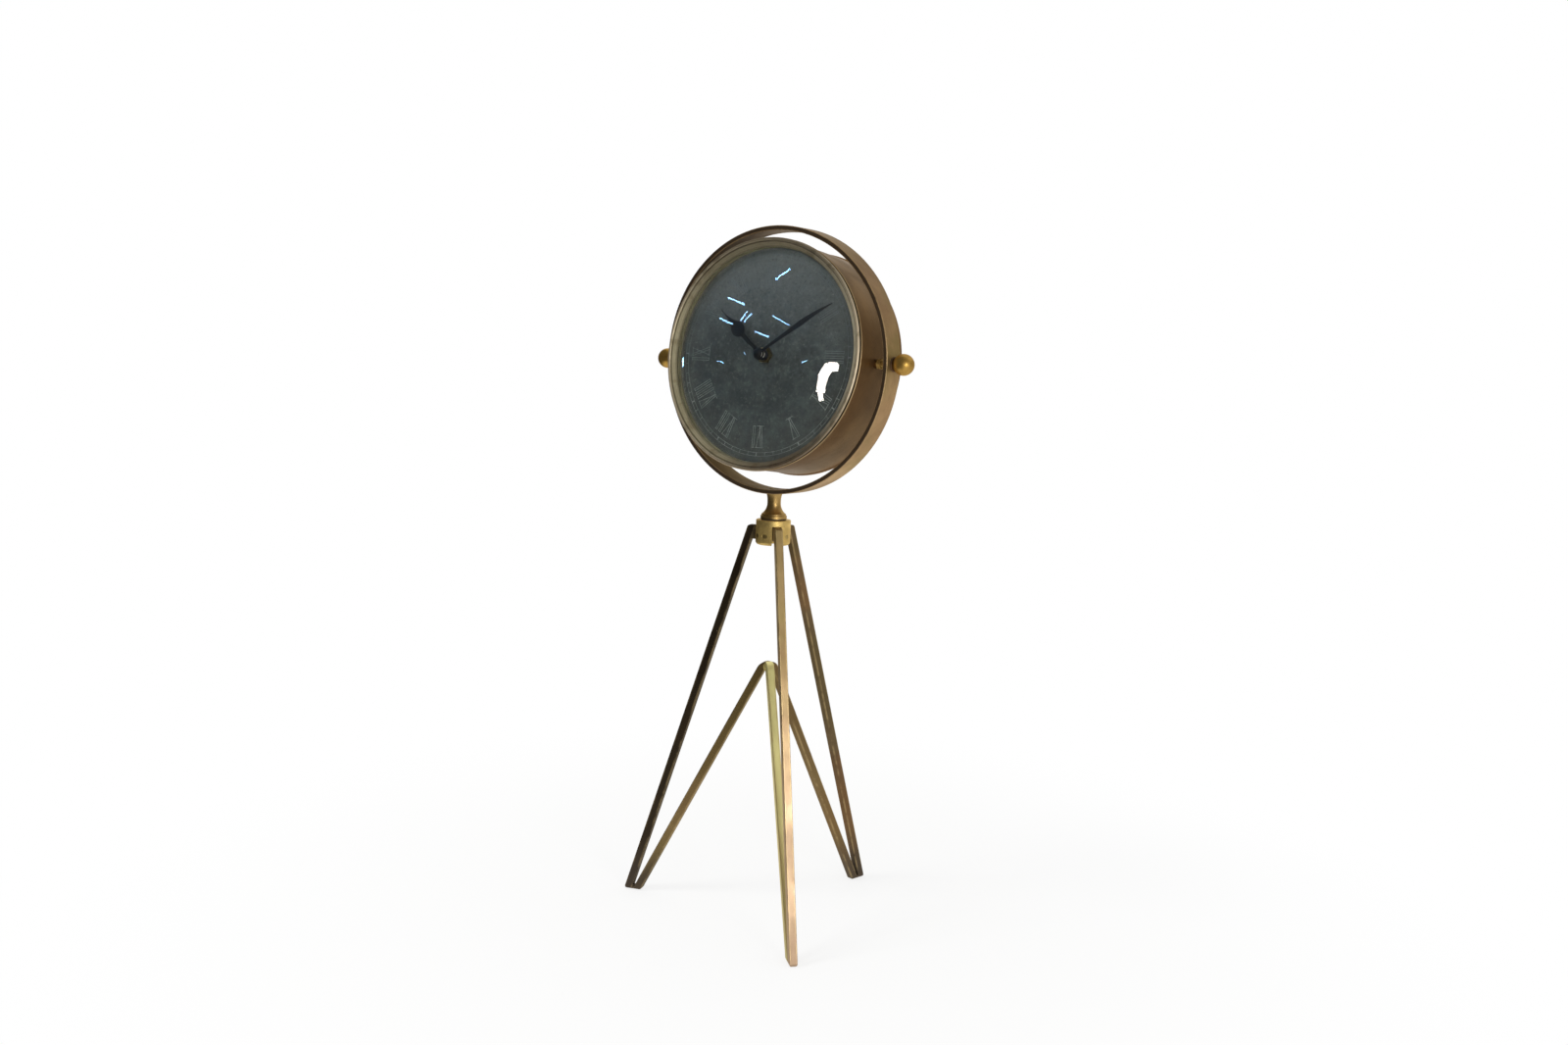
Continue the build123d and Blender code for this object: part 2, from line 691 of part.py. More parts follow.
def make_back_cover():
    """Pressed back cover with a sunken middle and an access hole, on three lugs inside the case."""
    ring_inner = cover_radius - cover_rim_width
    step_inner = ring_inner - cover_step_run
    panel_outer = cover_outer_face + cover_step_rise
    panel_inner = cover_inner_face + cover_step_rise
    lip_radius = cover_hole_radius + cover_hole_lip
    section = make_face(Polyline(
        (cover_radius, cover_outer_face),
        (cover_radius, cover_inner_face),
        (ring_inner, cover_inner_face),
        (step_inner, panel_inner),
        (lip_radius, panel_inner),
        (lip_radius, panel_inner + cover_hole_lip),
        (cover_hole_radius, panel_inner + cover_hole_lip),
        (cover_hole_radius, panel_outer),
        (step_inner, panel_outer),
        (ring_inner, cover_outer_face),
        close=True,
    ))
    cover = turned_drum(section)
    lugs = []
    screws = []
    lug_front = cover_inner_face + lug_height
    for step in range(lug_count):
        turn = Rotation(0, -(lug_first_angle + 360 * step / lug_count), 0)
        block = Pos(case_inner_radius - lug_length / 2, 0) * Rectangle(lug_length, lug_width)
        lug = slab(block, cover_inner_face, lug_front) & slab(Circle(case_inner_radius), cover_inner_face, lug_front)
        hole = Pos(cover_screw_reach, 0) * Circle(cover_screw_radius + thread_clearance)
        bore = slab(hole, cover_outer_face - overrun, lug_front + overrun)
        shank = slab(Pos(cover_screw_reach, 0) * Circle(cover_screw_radius), cover_outer_face, lug_front)
        head_rear = cover_outer_face - cover_screw_head_height
        head = slab(Pos(cover_screw_reach, 0) * Circle(cover_screw_head_radius), head_rear, cover_outer_face)
        slot = slab(Pos(cover_screw_reach, 0) * Rectangle(2 * cover_screw_head_radius + overrun,
                                                          cover_screw_slot_width),
                    head_rear, head_rear + cover_screw_slot_depth)
        cover -= turn * bore
        lugs.append(drum_place * turn * (lug - bore))
        screws.append(drum_place * turn * (shank + head - slot))
    keep("back_cover", drum_place * cover)
    keep("cover_lugs", *lugs)
    keep("cover_screws", *screws)


def involute(angle):
    return tan(angle) - angle


def gear_face(teeth, module, phase):
    """Spur gear outline with a tooth centred on the phase angle in degrees, its flanks thinned for play."""
    pitch_radius = module * teeth / 2
    base_radius = pitch_radius * cos(radians(pressure_angle))
    tip_radius = pitch_radius + tip_share * module
    root_radius = pitch_radius - root_share * module
    half_pitch = pi / (2 * teeth) - tooth_play / (2 * pitch_radius) + involute(radians(pressure_angle))

    def half_angle(radius):
        return half_pitch - (involute(acos(base_radius / radius)) if radius > base_radius else 0)

    flank = (root_radius, pitch_radius, tip_radius)
    points = []
    for tooth in range(teeth):
        middle = radians(phase + 360 * tooth / teeth)
        points += [(radius * cos(middle - half_angle(radius)), radius * sin(middle - half_angle(radius)))
                   for radius in flank]
        points += [(radius * cos(middle + half_angle(radius)), radius * sin(middle + half_angle(radius)))
                   for radius in reversed(flank)]
    return make_face(Polyline(*points, close=True))


def meshing_phase(teeth, phase, direction, other_teeth):
    """Phase of the other gear, so that its teeth stand in this gear's gaps along a direction."""
    share = ((direction - phase) * teeth / 360) % 1
    other_share = (0.5 - share) % 1
    return direction + 180 - other_share * 360 / other_teeth


def make_movement():
    """Movement: two housings, the motion work between them, the setting knob and the battery."""
    tube_bore = arbor_radius + hour_tube_bore_clearance
    slow_front = room_front - wheel_side_gap
    slow_rear = slow_front - wheel_thickness
    fast_front = slow_rear - wheel_side_gap
    fast_rear = fast_front - wheel_thickness
    frame = Pos(0, (housing_top - housing_bottom) / 2) * RectangleRounded(
        2 * housing_half_width, housing_top + housing_bottom, housing_corner)
    gear_room = (Circle(gear_room_radius)
                 + Pos(*minute_wheel_centre) * Circle(minute_wheel_distance - module_fast)
                 + Pos(*setting_centre) * Circle(setting_knob_radius))
    bay_height = bay_bottom - bay_top
    bay = Pos(0, -(bay_top + bay_bottom) / 2) * Rectangle(2 * bay_half_length, bay_height)

    front = slab(frame, room_rear, housing_front)
    front -= slab(gear_room, room_rear, room_front)
    front -= slab(bay, room_rear - overrun, room_front)
    front += slab(Circle(collar_radius), housing_front, housing_front + collar_length)
    front -= slab(Circle(hour_tube_radius + running_clearance), room_rear, housing_front + collar_length + overrun)
    keep("movement_front_housing", drum_place * front)

    rear = slab(frame, housing_rear, room_rear)
    rear -= slab(bay, housing_rear - overrun, room_rear + overrun)
    rear -= slab(Circle(arbor_radius + running_clearance), room_rear - arbor_pivot_depth, room_rear + overrun)
    shaft_hole = Pos(*setting_centre) * Circle(setting_shaft_radius + running_clearance)
    rear -= slab(shaft_hole, housing_rear - overrun, room_rear + overrun)
    rear += slab(Pos(*minute_wheel_centre) * Circle(minute_post_radius), room_rear, room_front - face_play)
    for side in (-1, 1):
        tab = Pos(side * (housing_half_width + snap_tab_thickness / 2), housing_top / 2)
        tab *= Rectangle(snap_tab_thickness, snap_tab_width)
        rear += slab(tab, room_rear - snap_tab_length / 2, room_rear + snap_tab_length / 2)
    keep("movement_rear_housing", drum_place * rear)

    nut_rear = dial_face
    nut_blank = RegularPolygon(collar_nut_flats / 2, 6, major_radius=False) - Circle(collar_radius + thread_clearance)
    keep("collar_nut", drum_place * slab(nut_blank, nut_rear, nut_rear + collar_nut_thickness))
    keep("rubber_washer", drum_place * slab(ring(rubber_washer_radius, collar_radius + press_gap),
                                            washer_rear, ledge_face))

    cannon_phase = minute_wheel_direction
    wheel_phase = meshing_phase(cannon_teeth, cannon_phase, minute_wheel_direction, minute_wheel_teeth)
    knob_phase = meshing_phase(minute_wheel_teeth, wheel_phase, setting_direction, setting_teeth)
    hour_phase = meshing_phase(minute_pinion_teeth, wheel_phase, minute_wheel_direction + 180, hour_wheel_teeth)

    minute_tip = dial_face + minute_hand_height + hand_thickness
    arbor = slab(Circle(arbor_radius), room_rear - arbor_pivot_depth + face_play, minute_tip)
    arbor += slab(gear_face(cannon_teeth, module_fast, cannon_phase), fast_rear, fast_front)
    keep("minute_arbor", drum_place * arbor)

    hour_seat = dial_face + hour_hand_height
    hour = slab(gear_face(hour_wheel_teeth, module_slow, hour_phase), slow_rear, slow_front)
    hour += slab(Circle(hour_tube_radius), slow_front, hour_seat + hand_thickness)
    hour -= slab(Circle(tube_bore), slow_rear - overrun, hour_seat + hand_thickness + overrun)
    keep("hour_wheel", drum_place * hour)

    wheel = slab(gear_face(minute_wheel_teeth, module_fast, wheel_phase), fast_rear, fast_front)
    wheel += slab(gear_face(minute_pinion_teeth, module_slow, wheel_phase), fast_front, slow_front)
    wheel -= slab(Circle(minute_post_radius + running_clearance), fast_rear - overrun, slow_front + overrun)
    keep("minute_wheel", drum_place * Pos(minute_wheel_centre[0], 0, minute_wheel_centre[1]) * wheel)

    knob_front = housing_rear - setting_knob_gap
    knob_rear = knob_front - setting_knob_height
    pinion = slab(gear_face(setting_teeth, module_fast, knob_phase), fast_rear, fast_front)
    pinion += slab(Circle(setting_shaft_radius), knob_front, fast_rear)
    knob = slab(Circle(setting_knob_radius), knob_rear, knob_front)
    for flute in range(setting_knob_flutes):
        groove = Pos(*polar(setting_knob_radius, 360 * flute / setting_knob_flutes)) * Circle(setting_flute_radius)
        knob -= slab(groove, knob_rear - overrun, knob_front + overrun)
    setting_place = drum_place * Pos(setting_centre[0], 0, setting_centre[1])
    keep("setting_pinion", setting_place * pinion)
    keep("setting_knob", setting_place * knob)


def make_battery():
    """One cell in its bay, with a flat contact at one end and a contact with a cone spring at the other."""
    axis_front = room_front - battery_radius - face_play
    bay_middle = -(bay_top + bay_bottom) / 2
    cell_place = drum_place * Pos(0, -axis_front, bay_middle)
    start = -battery_length / 2
    cell = across(battery_radius, start, start + battery_length)
    cell = fillet(cell.edges().filter_by(GeomType.CIRCLE), bar_chamfer)
    nub_end = start + battery_length + battery_nub_length
    cell += across(battery_nub_radius, start + battery_length, nub_end)
    keep("battery", cell_place * cell)
    plate_height = 2 * battery_radius - contact_half_width
    plate = Box(contact_thickness, plate_height, 2 * contact_half_width)
    plate_place = bay_half_length - contact_thickness / 2
    spring_end = start - face_play
    spring_start = contact_thickness - bay_half_length
    cone = Cone(contact_spring_radius, contact_spring_radius / 2, spring_end - spring_start,
                rotation=(0, 90, 0), align=(Align.CENTER, Align.CENTER, Align.MIN))
    minus = Pos(-plate_place, 0, 0) * plate + Pos(spring_start, 0, 0) * cone
    stop_start = nub_end + face_play
    stop_end = bay_half_length - contact_thickness
    plus_contact = Pos(plate_place, 0, 0) * plate + across(battery_nub_radius, stop_start, stop_end)
    keep("battery_contacts", cell_place * minus, cell_place * plus_contact)


def hand_point(share, width, length):
    return (share[0] * width, share[1] * length)


def mirrored(point):
    return (-point[0], point[1])


def hour_outline():
    """Spade hand, pointing up: stem, two round lobes, and a drawn-out tip."""
    tip = (hand_tip_width / 2, hour_hand_length)
    lobe = hand_point(spade_lobe_share, hour_hand_width, hour_hand_length)
    shoulder = hand_point(spade_shoulder_share, hour_hand_width, hour_hand_length)
    waist = hand_point(spade_waist_share, hour_hand_width, hour_hand_length)
    root = (hour_stem_width / 2, 0)
    neck = (hour_stem_width / 2, spade_neck_share * hour_hand_length)
    right = [
        Line(root, neck),
        ThreePointArc(neck, lobe, shoulder),
        ThreePointArc(shoulder, waist, tip),
    ]
    left = [
        Line(mirrored(neck), mirrored(root)),
        ThreePointArc(mirrored(shoulder), mirrored(lobe), mirrored(neck)),
        ThreePointArc(mirrored(tip), mirrored(waist), mirrored(shoulder)),
    ]
    caps = [Line(tip, mirrored(tip)), Line(mirrored(root), root)]
    return outline_face(*right, *left, *caps) + Circle(hour_boss_radius)


def minute_outline():
    """Lance hand, pointing up: widest past the middle, drawn to a fine tip."""
    tip = (hand_tip_width / 2, minute_hand_length)
    shares = (lance_root_share, lance_rise_share, lance_side_share, lance_fall_share)
    right = [(minute_stem_width / 2, 0)] + [hand_point(share, minute_hand_width, minute_hand_length) for share in shares]
    right.append(tip)
    left = [mirrored(point) for point in reversed(right)]
    return make_face(Polyline(*right, *left, close=True)) + Circle(minute_boss_radius)


def bent_strip(seat):
    """A strip along the upright minute hand, flat at the centre and curving back toward the dial at the tip."""
    bend_radius = (minute_bend_run ** 2 + minute_tip_drop ** 2) / (2 * minute_tip_drop)
    end_angle = asin(minute_bend_run / bend_radius)

    def arc_point(angle, rise):
        return (minute_bend_start + (bend_radius + rise) * sin(angle),
                seat - bend_radius + (bend_radius + rise) * cos(angle))

    tail = -minute_boss_radius - overrun
    front = seat + hand_thickness
    side = Plane(origin=(0, 0, 0), x_dir=(0, 0, 1), z_dir=(1, 0, 0))
    strip = outline_face(
        Line((tail, seat), (minute_bend_start, seat)),
        ThreePointArc((minute_bend_start, seat), arc_point(end_angle / 2, 0), arc_point(end_angle, 0)),
        Line(arc_point(end_angle, 0), arc_point(end_angle, hand_thickness)),
        ThreePointArc(arc_point(end_angle, hand_thickness), arc_point(end_angle / 2, hand_thickness),
                      (minute_bend_start, front)),
        Line((minute_bend_start, front), (tail, front)),
        Line((tail, front), (tail, seat)),
    )
    return extrude(side * strip, amount=minute_boss_radius + overrun, both=True)


def make_hands():
    hour_seat = dial_face + hour_hand_height
    hour_hand = hour_outline() - Circle(hour_tube_radius + press_gap)
    hour_hand = Rotation(0, 0, -hour_hand_angle) * hour_hand
    keep("hour_hand", drum_place * slab(hour_hand, hour_seat, hour_seat + hand_thickness))
    minute_seat = dial_face + minute_hand_height
    minute_front = minute_seat + hand_thickness
    minute_hand = slab(minute_outline(), minute_seat - minute_tip_drop, minute_front) & bent_strip(minute_seat)
    minute_hand -= slab(Circle(arbor_radius + press_gap), minute_seat - overrun, minute_front + overrun)
    keep("minute_hand", drum_place * Rotation(0, minute_hand_angle, 0) * minute_hand)
    cap_rear = minute_front
    dome_radius = (cap_radius ** 2 + cap_height ** 2) / (2 * cap_height)
    cap = turned_drum(outline_face(
        Line((0, cap_rear), (cap_radius, cap_rear)),
        RadiusArc((cap_radius, cap_rear), (0, cap_rear + cap_height), -dome_radius),
        Line((0, cap_rear + cap_height), (0, cap_rear)),
    ))
    keep("hand_cap", drum_place * cap)


make_hoop()
make_neck()
make_swivel()
make_hub()
make_legs()
make_pivots()
make_case()
make_bezel()
make_glass()
make_dial()
make_back_cover()
make_movement()
make_battery()
make_hands()

for node_name, shape in nodes.items():
    export_step(shape, f"parts/{node_name}.step")
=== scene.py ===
"""Finishes and stage for the drum clock on its tripod stand.

Each operator dresses one piece or one group of like pieces of the loaded frame. Lengths are in metres.
"""
import math

import bmesh
import bpy
from bpy.props import FloatProperty, FloatVectorProperty, IntProperty, PointerProperty
from mathutils import Matrix, Vector


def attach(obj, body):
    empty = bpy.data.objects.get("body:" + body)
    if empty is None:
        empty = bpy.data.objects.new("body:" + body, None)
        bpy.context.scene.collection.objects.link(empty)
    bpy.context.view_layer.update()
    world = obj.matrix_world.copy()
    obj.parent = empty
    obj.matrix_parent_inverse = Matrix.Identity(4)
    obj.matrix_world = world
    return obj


bl_info = {
    "name": "Drum clock on tripod stand",
    "version": (1, 0, 0),
    "blender": (4, 5, 0),
    "location": "View3D > Sidebar > Clock",
    "description": "Brass, dial, glass and stage for a drum clock that tilts in a hoop on a tripod",
    "category": "Object",
}

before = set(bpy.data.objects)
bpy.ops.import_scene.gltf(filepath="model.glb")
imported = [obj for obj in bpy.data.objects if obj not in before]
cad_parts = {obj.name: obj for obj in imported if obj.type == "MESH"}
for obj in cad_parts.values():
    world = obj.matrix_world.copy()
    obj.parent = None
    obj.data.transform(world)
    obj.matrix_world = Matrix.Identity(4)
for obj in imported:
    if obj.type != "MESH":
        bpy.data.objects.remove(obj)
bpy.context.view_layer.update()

NUMERALS = ("XII", "I", "II", "III", "IV", "V", "VI", "VII", "VIII", "IX", "X", "XI")


def tone(red, green, blue):
    """A linear colour from the 0 to 255 numbers of a colour chart."""
    steps = [value / 255 for value in (red, green, blue)]
    return tuple(step / 12.92 if step <= 0.04045 else ((step + 0.055) / 1.055) ** 2.4 for step in steps)


def scaled(shade, factor):
    """A colour made darker or lighter."""
    return tuple(min(value * factor, 1) for value in shade)


def colour(name, about, red, green, blue):
    return FloatVectorProperty(name=name, description=about, subtype="COLOR", size=3, min=0, max=1,
                               default=tone(red, green, blue))


def length(name, about, metres):
    return FloatProperty(name=name, description=about, default=metres, min=0, precision=5, unit="LENGTH")


def share(name, about, value):
    return FloatProperty(name=name, description=about, default=value, min=0, max=1, subtype="FACTOR")


def degrees(name, about, value):
    return FloatProperty(name=name, description=about, default=math.radians(value), subtype="ANGLE")


def amount(name, about, value, unit="NONE"):
    return FloatProperty(name=name, description=about, default=value, min=0, unit=unit)


# ---------------------------------------------------------------- shader sums

class Field:
    """A socket of a material, so that shader maths reads as Python sums."""

    def __init__(self, finish, socket):
        self.finish = finish
        self.socket = socket

    def maths(self, operation, *terms):
        return self.finish.node("ShaderNodeMath", {"operation": operation}, dict(enumerate(terms)))

    def __add__(self, other):
        return self.maths("ADD", self, other)

    def __radd__(self, other):
        return self.maths("ADD", other, self)

    def __sub__(self, other):
        return self.maths("SUBTRACT", self, other)

    def __rsub__(self, other):
        return self.maths("SUBTRACT", other, self)

    def __mul__(self, other):
        return self.maths("MULTIPLY", self, other)

    def __rmul__(self, other):
        return self.maths("MULTIPLY", other, self)

    def __pow__(self, other):
        return self.maths("POWER", self, other)

    def __rpow__(self, other):
        return self.maths("POWER", other, self)

    def __abs__(self):
        return self.maths("ABSOLUTE", self)


def reach(first, second):
    """How far a surface is from an axis, from two distances square to it."""
    return (first * first + second * second) ** 0.5


class Finish:
    """One material, or the world's light, built from nodes."""

    def __init__(self, name, holder=None):
        self.holder = holder or bpy.data.materials.new(name)
        self.holder.use_nodes = True
        self.tree = self.holder.node_tree
        self.tree.nodes.clear()

    def node(self, kind, settings=None, sockets=None, out=0):
        """Adds a node: its settings first, then the values or links of its sockets. All its outputs for out=None."""
        made = self.tree.nodes.new(kind)
        for name, value in (settings or {}).items():
            setattr(made, name, value)
        for key, value in (sockets or {}).items():
            if isinstance(value, Field):
                self.tree.links.new(value.socket, made.inputs[key])
            else:
                made.inputs[key].default_value = value
        if out is None:
            return [Field(self, socket) for socket in made.outputs]
        return Field(self, made.outputs[out])

    def place(self):
        """Where the surface is on the piece, in metres."""
        return self.node("ShaderNodeTexCoord", out=3)

    def drum_place(self):
        """Where the surface is in the drum: right of its axis, behind the pivots, above its axis."""
        back = DRUM.inverted()
        return self.node("ShaderNodeMapping", {"vector_type": "POINT"},
                         {"Vector": self.place(), "Location": back.to_translation(), "Rotation": back.to_euler()})

    def parts(self, vector):
        """The three numbers of a place."""
        return self.node("ShaderNodeSeparateXYZ", None, {0: vector}, out=None)

    def noise(self, vector, scale, detail=3.0, rough=0.55, twist=0.0):
        return self.node("ShaderNodeTexNoise", None, {
            "Vector": vector, "Scale": scale, "Detail": detail, "Roughness": rough, "Distortion": twist})

    def lines(self, across, scale):
        """Fine uneven lines, along which one distance stays the same."""
        return self.node("ShaderNodeTexNoise", {"noise_dimensions": "1D"},
                         {"W": across * scale, "Scale": 1.0, "Detail": 3.0, "Roughness": 0.6})

    def stretch(self, vector, scale):
        return self.node("ShaderNodeVectorMath", {"operation": "MULTIPLY"}, {0: vector, 1: scale})

    def ease(self, value, low, high):
        """0 below low, 1 above high, smooth between."""
        return self.node("ShaderNodeMapRange", {"interpolation_type": "SMOOTHSTEP"}, {
            "Value": value, "From Min": low, "From Max": high, "To Min": 0.0, "To Max": 1.0})

    def band(self, value, low, high, soft):
        """1 between low and high, and 0 outside."""
        return self.ease(value, low - soft, low) * (1 - self.ease(value, high, high + soft))

    def mix(self, factor, first, second):
        """Blends two colours."""
        def full(shade):
            return shade if isinstance(shade, Field) else (*shade[:3], 1)
        return self.node("ShaderNodeMix", {"data_type": "RGBA"}, {0: factor, 6: full(first), 7: full(second)}, out=2)

    def lay(self, base, *layers):
        """Lays shades over a base colour, each as strongly as its mask."""
        for mask, shade in layers:
            base = self.mix(mask, base, shade)
        return base

    def patches(self, place, scale, low=0.46, high=0.62):
        """1 in soft patches, and 0 between them."""
        return self.ease(self.noise(place, scale, 3, 0.5, 0.3), low, high)

    def bump(self, height, strength, distance):
        return self.node("ShaderNodeBump", None, {"Strength": strength, "Distance": distance, "Height": height})

    def lit_or_seen(self):
        """1 where the eye, a mirror or glass looks, 0 where light falls."""
        rays = self.node("ShaderNodeLightPath", out=None)
        seen = [ray for ray in rays if ray.socket.name in ("Is Camera Ray", "Is Glossy Ray", "Is Transmission Ray")]
        return self.ease(seen[0] + seen[1] + seen[2], 0.0, 1.0)

    def end(self, shader, kind="ShaderNodeOutputMaterial"):
        """Ends the nodes with their shader."""
        self.node(kind, None, {"Surface": shader}, out=None)
        return self.holder

    def surface(self, sockets):
        """Ends the nodes with an ordinary surface that has these sockets."""
        return self.end(self.node("ShaderNodeBsdfPrincipled", None, sockets))


# ---------------------------------------------------------------- places and meshes

# The drum leans back about its pivots, and its axis lies a little over theirs
PIVOT_HEIGHT = 0.426
DRUM_LEAN = math.radians(6)
DRUM_LIFT = 0.002
DRUM = (Matrix.Translation((0, 0, PIVOT_HEIGHT)) @ Matrix.Rotation(-DRUM_LEAN, 4, "X")
        @ Matrix.Translation((0, 0, DRUM_LIFT)))

# Strip lights in front of the clock: start, end and width
STRIPS = (
    ((-0.56, -0.74, 1.27), (-0.44, -0.70, 1.37), 0.025),
    ((-0.99, -0.51, 1.02), (-0.81, -0.73, 1.02), 0.012),
    ((-1.03, -0.56, 0.86), (-0.90, -0.74, 0.85), 0.011),
    ((-0.83, -0.80, 0.89), (-0.77, -0.80, 0.98), 0.014),
    ((-0.78, -0.83, 0.89), (-0.72, -0.84, 0.97), 0.014),
    ((-0.50, -0.98, 0.99), (-0.29, -1.08, 0.93), 0.010),
    ((-0.66, -0.96, 0.83), (-0.49, -1.06, 0.80), 0.012),
    ((-1.02, -0.71, 0.54), (-0.95, -0.79, 0.53), 0.008),
    ((-0.10, -1.22, 0.59), (-0.04, -1.22, 0.61), 0.009),
    ((-1.26, -0.15, 0.52), (-1.26, -0.17, 0.47), 0.030),
)

# The parts of a bent lit panel in front of the clock: start, end and width
PANEL = (
    ((0.130, -1.22, 0.20), (0.124, -1.22, 0.31), 0.058),
    ((0.124, -1.22, 0.29), (0.146, -1.22, 0.47), 0.100),
    ((0.140, -1.22, 0.44), (0.215, -1.21, 0.58), 0.110),
    ((0.200, -1.20, 0.555), (0.306, -1.19, 0.560), 0.095),
)

# Cards round the stage: azimuths, rings of radius and height, and the shades at their foot and top
CARDS = {
    "card_front": ((-115, 32), ((0.5, 0.002), (2.4, 0.01), (2.4, 1.2), (1.5, 2.2), (0.05, 2.6)),
                   (0.012, 0.012, 0.011), (0.06, 0.063, 0.066)),
    "card_right_high": ((32, 100), ((2.4, 1.0), (2.4, 1.4), (1.5, 2.2), (0.05, 2.6)),
                        (0.2, 0.18, 0.155), (0.26, 0.24, 0.215)),
    "card_back_right": ((95, 165), ((2.4, 0.1), (2.4, 1.5)), (0.52, 0.48, 0.42), (0.3, 0.28, 0.25)),
}
CARD_STEPS = 16
FLOOR_RADIUS = 30
FLOOR_DROP = 0.0002

# A leg's outer bar and inner arm: reach of the middle at the floor, lean inward per height, and cosine of the lean
OUTER_BAR = (0.1117, 0.3161, 0.9535)
INNER_ARM = (0.1042, 0.5193, 0.8875)
# The line that parts them: reach at the floor and lean inward per height
LEG_SPLIT = (0.1081, 0.4177)
BAR_WIDTH = 0.006

# Each leg: its bearing, how much painted shade darkens its outer bar and how rosy it is, the painted light low on
# its outer bar (a painted highlight on the front leg, painted shade on the others) and how much of it shows, the
# painted light on its inner arm (a painted highlight on the front leg, painted shade on the others), and how dark
# its foot is
LEGS = {
    "leg_front": (-42.3, 0.0, 0.0, tone(184, 156, 130), 0.75, tone(238, 230, 160), 0.1),
    "leg_back": (77.7, 0.62, 0.4, tone(128, 102, 70), 0.5, tone(100, 80, 48), 0.85),
    "leg_left": (197.7, 0.97, 0.03, tone(84, 66, 46), 0.4, tone(108, 90, 52), 0.9),
}

# The braze between two inner arms: rows up it, points across its hollow face, how hollow that is, how far its back
# lies in the corner, and its reach at the ends as a share of its full reach
BRAZE_ROWS = 9
BRAZE_POINTS = 7
BRAZE_HOLLOW = 0.45
BRAZE_SINK = 0.0004
BRAZE_END = 0.35

# Soft lamps: place, the point that they shine at, and diameter
KEY_LAMP = ((-0.9, -1.3, 1.9), (0, 0, 0.35), 0.7)
SIDE_LAMP = ((1.5, -0.87, 0.45), (0, 0, 0.25), 0.5)

# Numerals: the turn from one to the next, and the letters' widths and gap as shares of their height
HOUR_TURN = math.radians(30)
LETTER_WIDTHS = {"I": 0.15, "V": 0.42, "X": 0.42}
LETTER_GAP = 0.07

# Minute track: widths of its ticks in line widths, and sides of its circles
HOUR_TICK = 3.2
MINUTE_TICK = 1.2
TRACK_SIDES = 180

# Air between the dial's face and the print on it
PRINT_GAP = 0.00001


def wear(material, *names):
    """Gives CAD nodes a material."""
    for name in names:
        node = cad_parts[name]
        node.data.materials.clear()
        node.data.materials.append(material)


def piece(name, mesh, material, body):
    """A new piece that rides on a body."""
    mesh.materials.append(material)
    made = bpy.data.objects.new(name, mesh)
    bpy.context.scene.collection.objects.link(made)
    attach(made, body)
    return made


def to_mesh(shape, name, place=None):
    """Ends a bmesh as a mesh, put at its place."""
    if place is not None:
        bmesh.ops.transform(shape, matrix=place, verts=shape.verts)
    bmesh.ops.recalc_face_normals(shape, faces=shape.faces)
    mesh = bpy.data.meshes.new(name)
    shape.to_mesh(mesh)
    shape.free()
    return mesh


def lift(shape, outline, rear, front):
    """A thin plate seen from the front, from its outline of right and up, between two distances in front."""
    lower = [shape.verts.new((x, -rear, z)) for x, z in outline]
    upper = [shape.verts.new((x, -front, z)) for x, z in outline]
    count = len(outline)
    shape.faces.new(lower)
    shape.faces.new(upper[::-1])
    for step in range(count):
        following = (step + 1) % count
        shape.faces.new((lower[step], upper[step], upper[following], lower[following]))


def round_band(shape, inner, outer, rear, front, count):
    """A thin flat ring seen from the front."""
    rows = []
    for step in range(count):
        angle = 2 * math.pi * step / count
        right, up = math.cos(angle), math.sin(angle)
        rows.append([shape.verts.new((radius * right, -depth, radius * up))
                     for radius, depth in ((inner, rear), (outer, rear), (outer, front), (inner, front))])
    for step in range(count):
        near, far = rows[step], rows[(step + 1) % count]
        for side in range(4):
            other = (side + 1) % 4
            shape.faces.new((near[side], near[other], far[other], far[side]))


# ---------------------------------------------------------------- sizes and colours

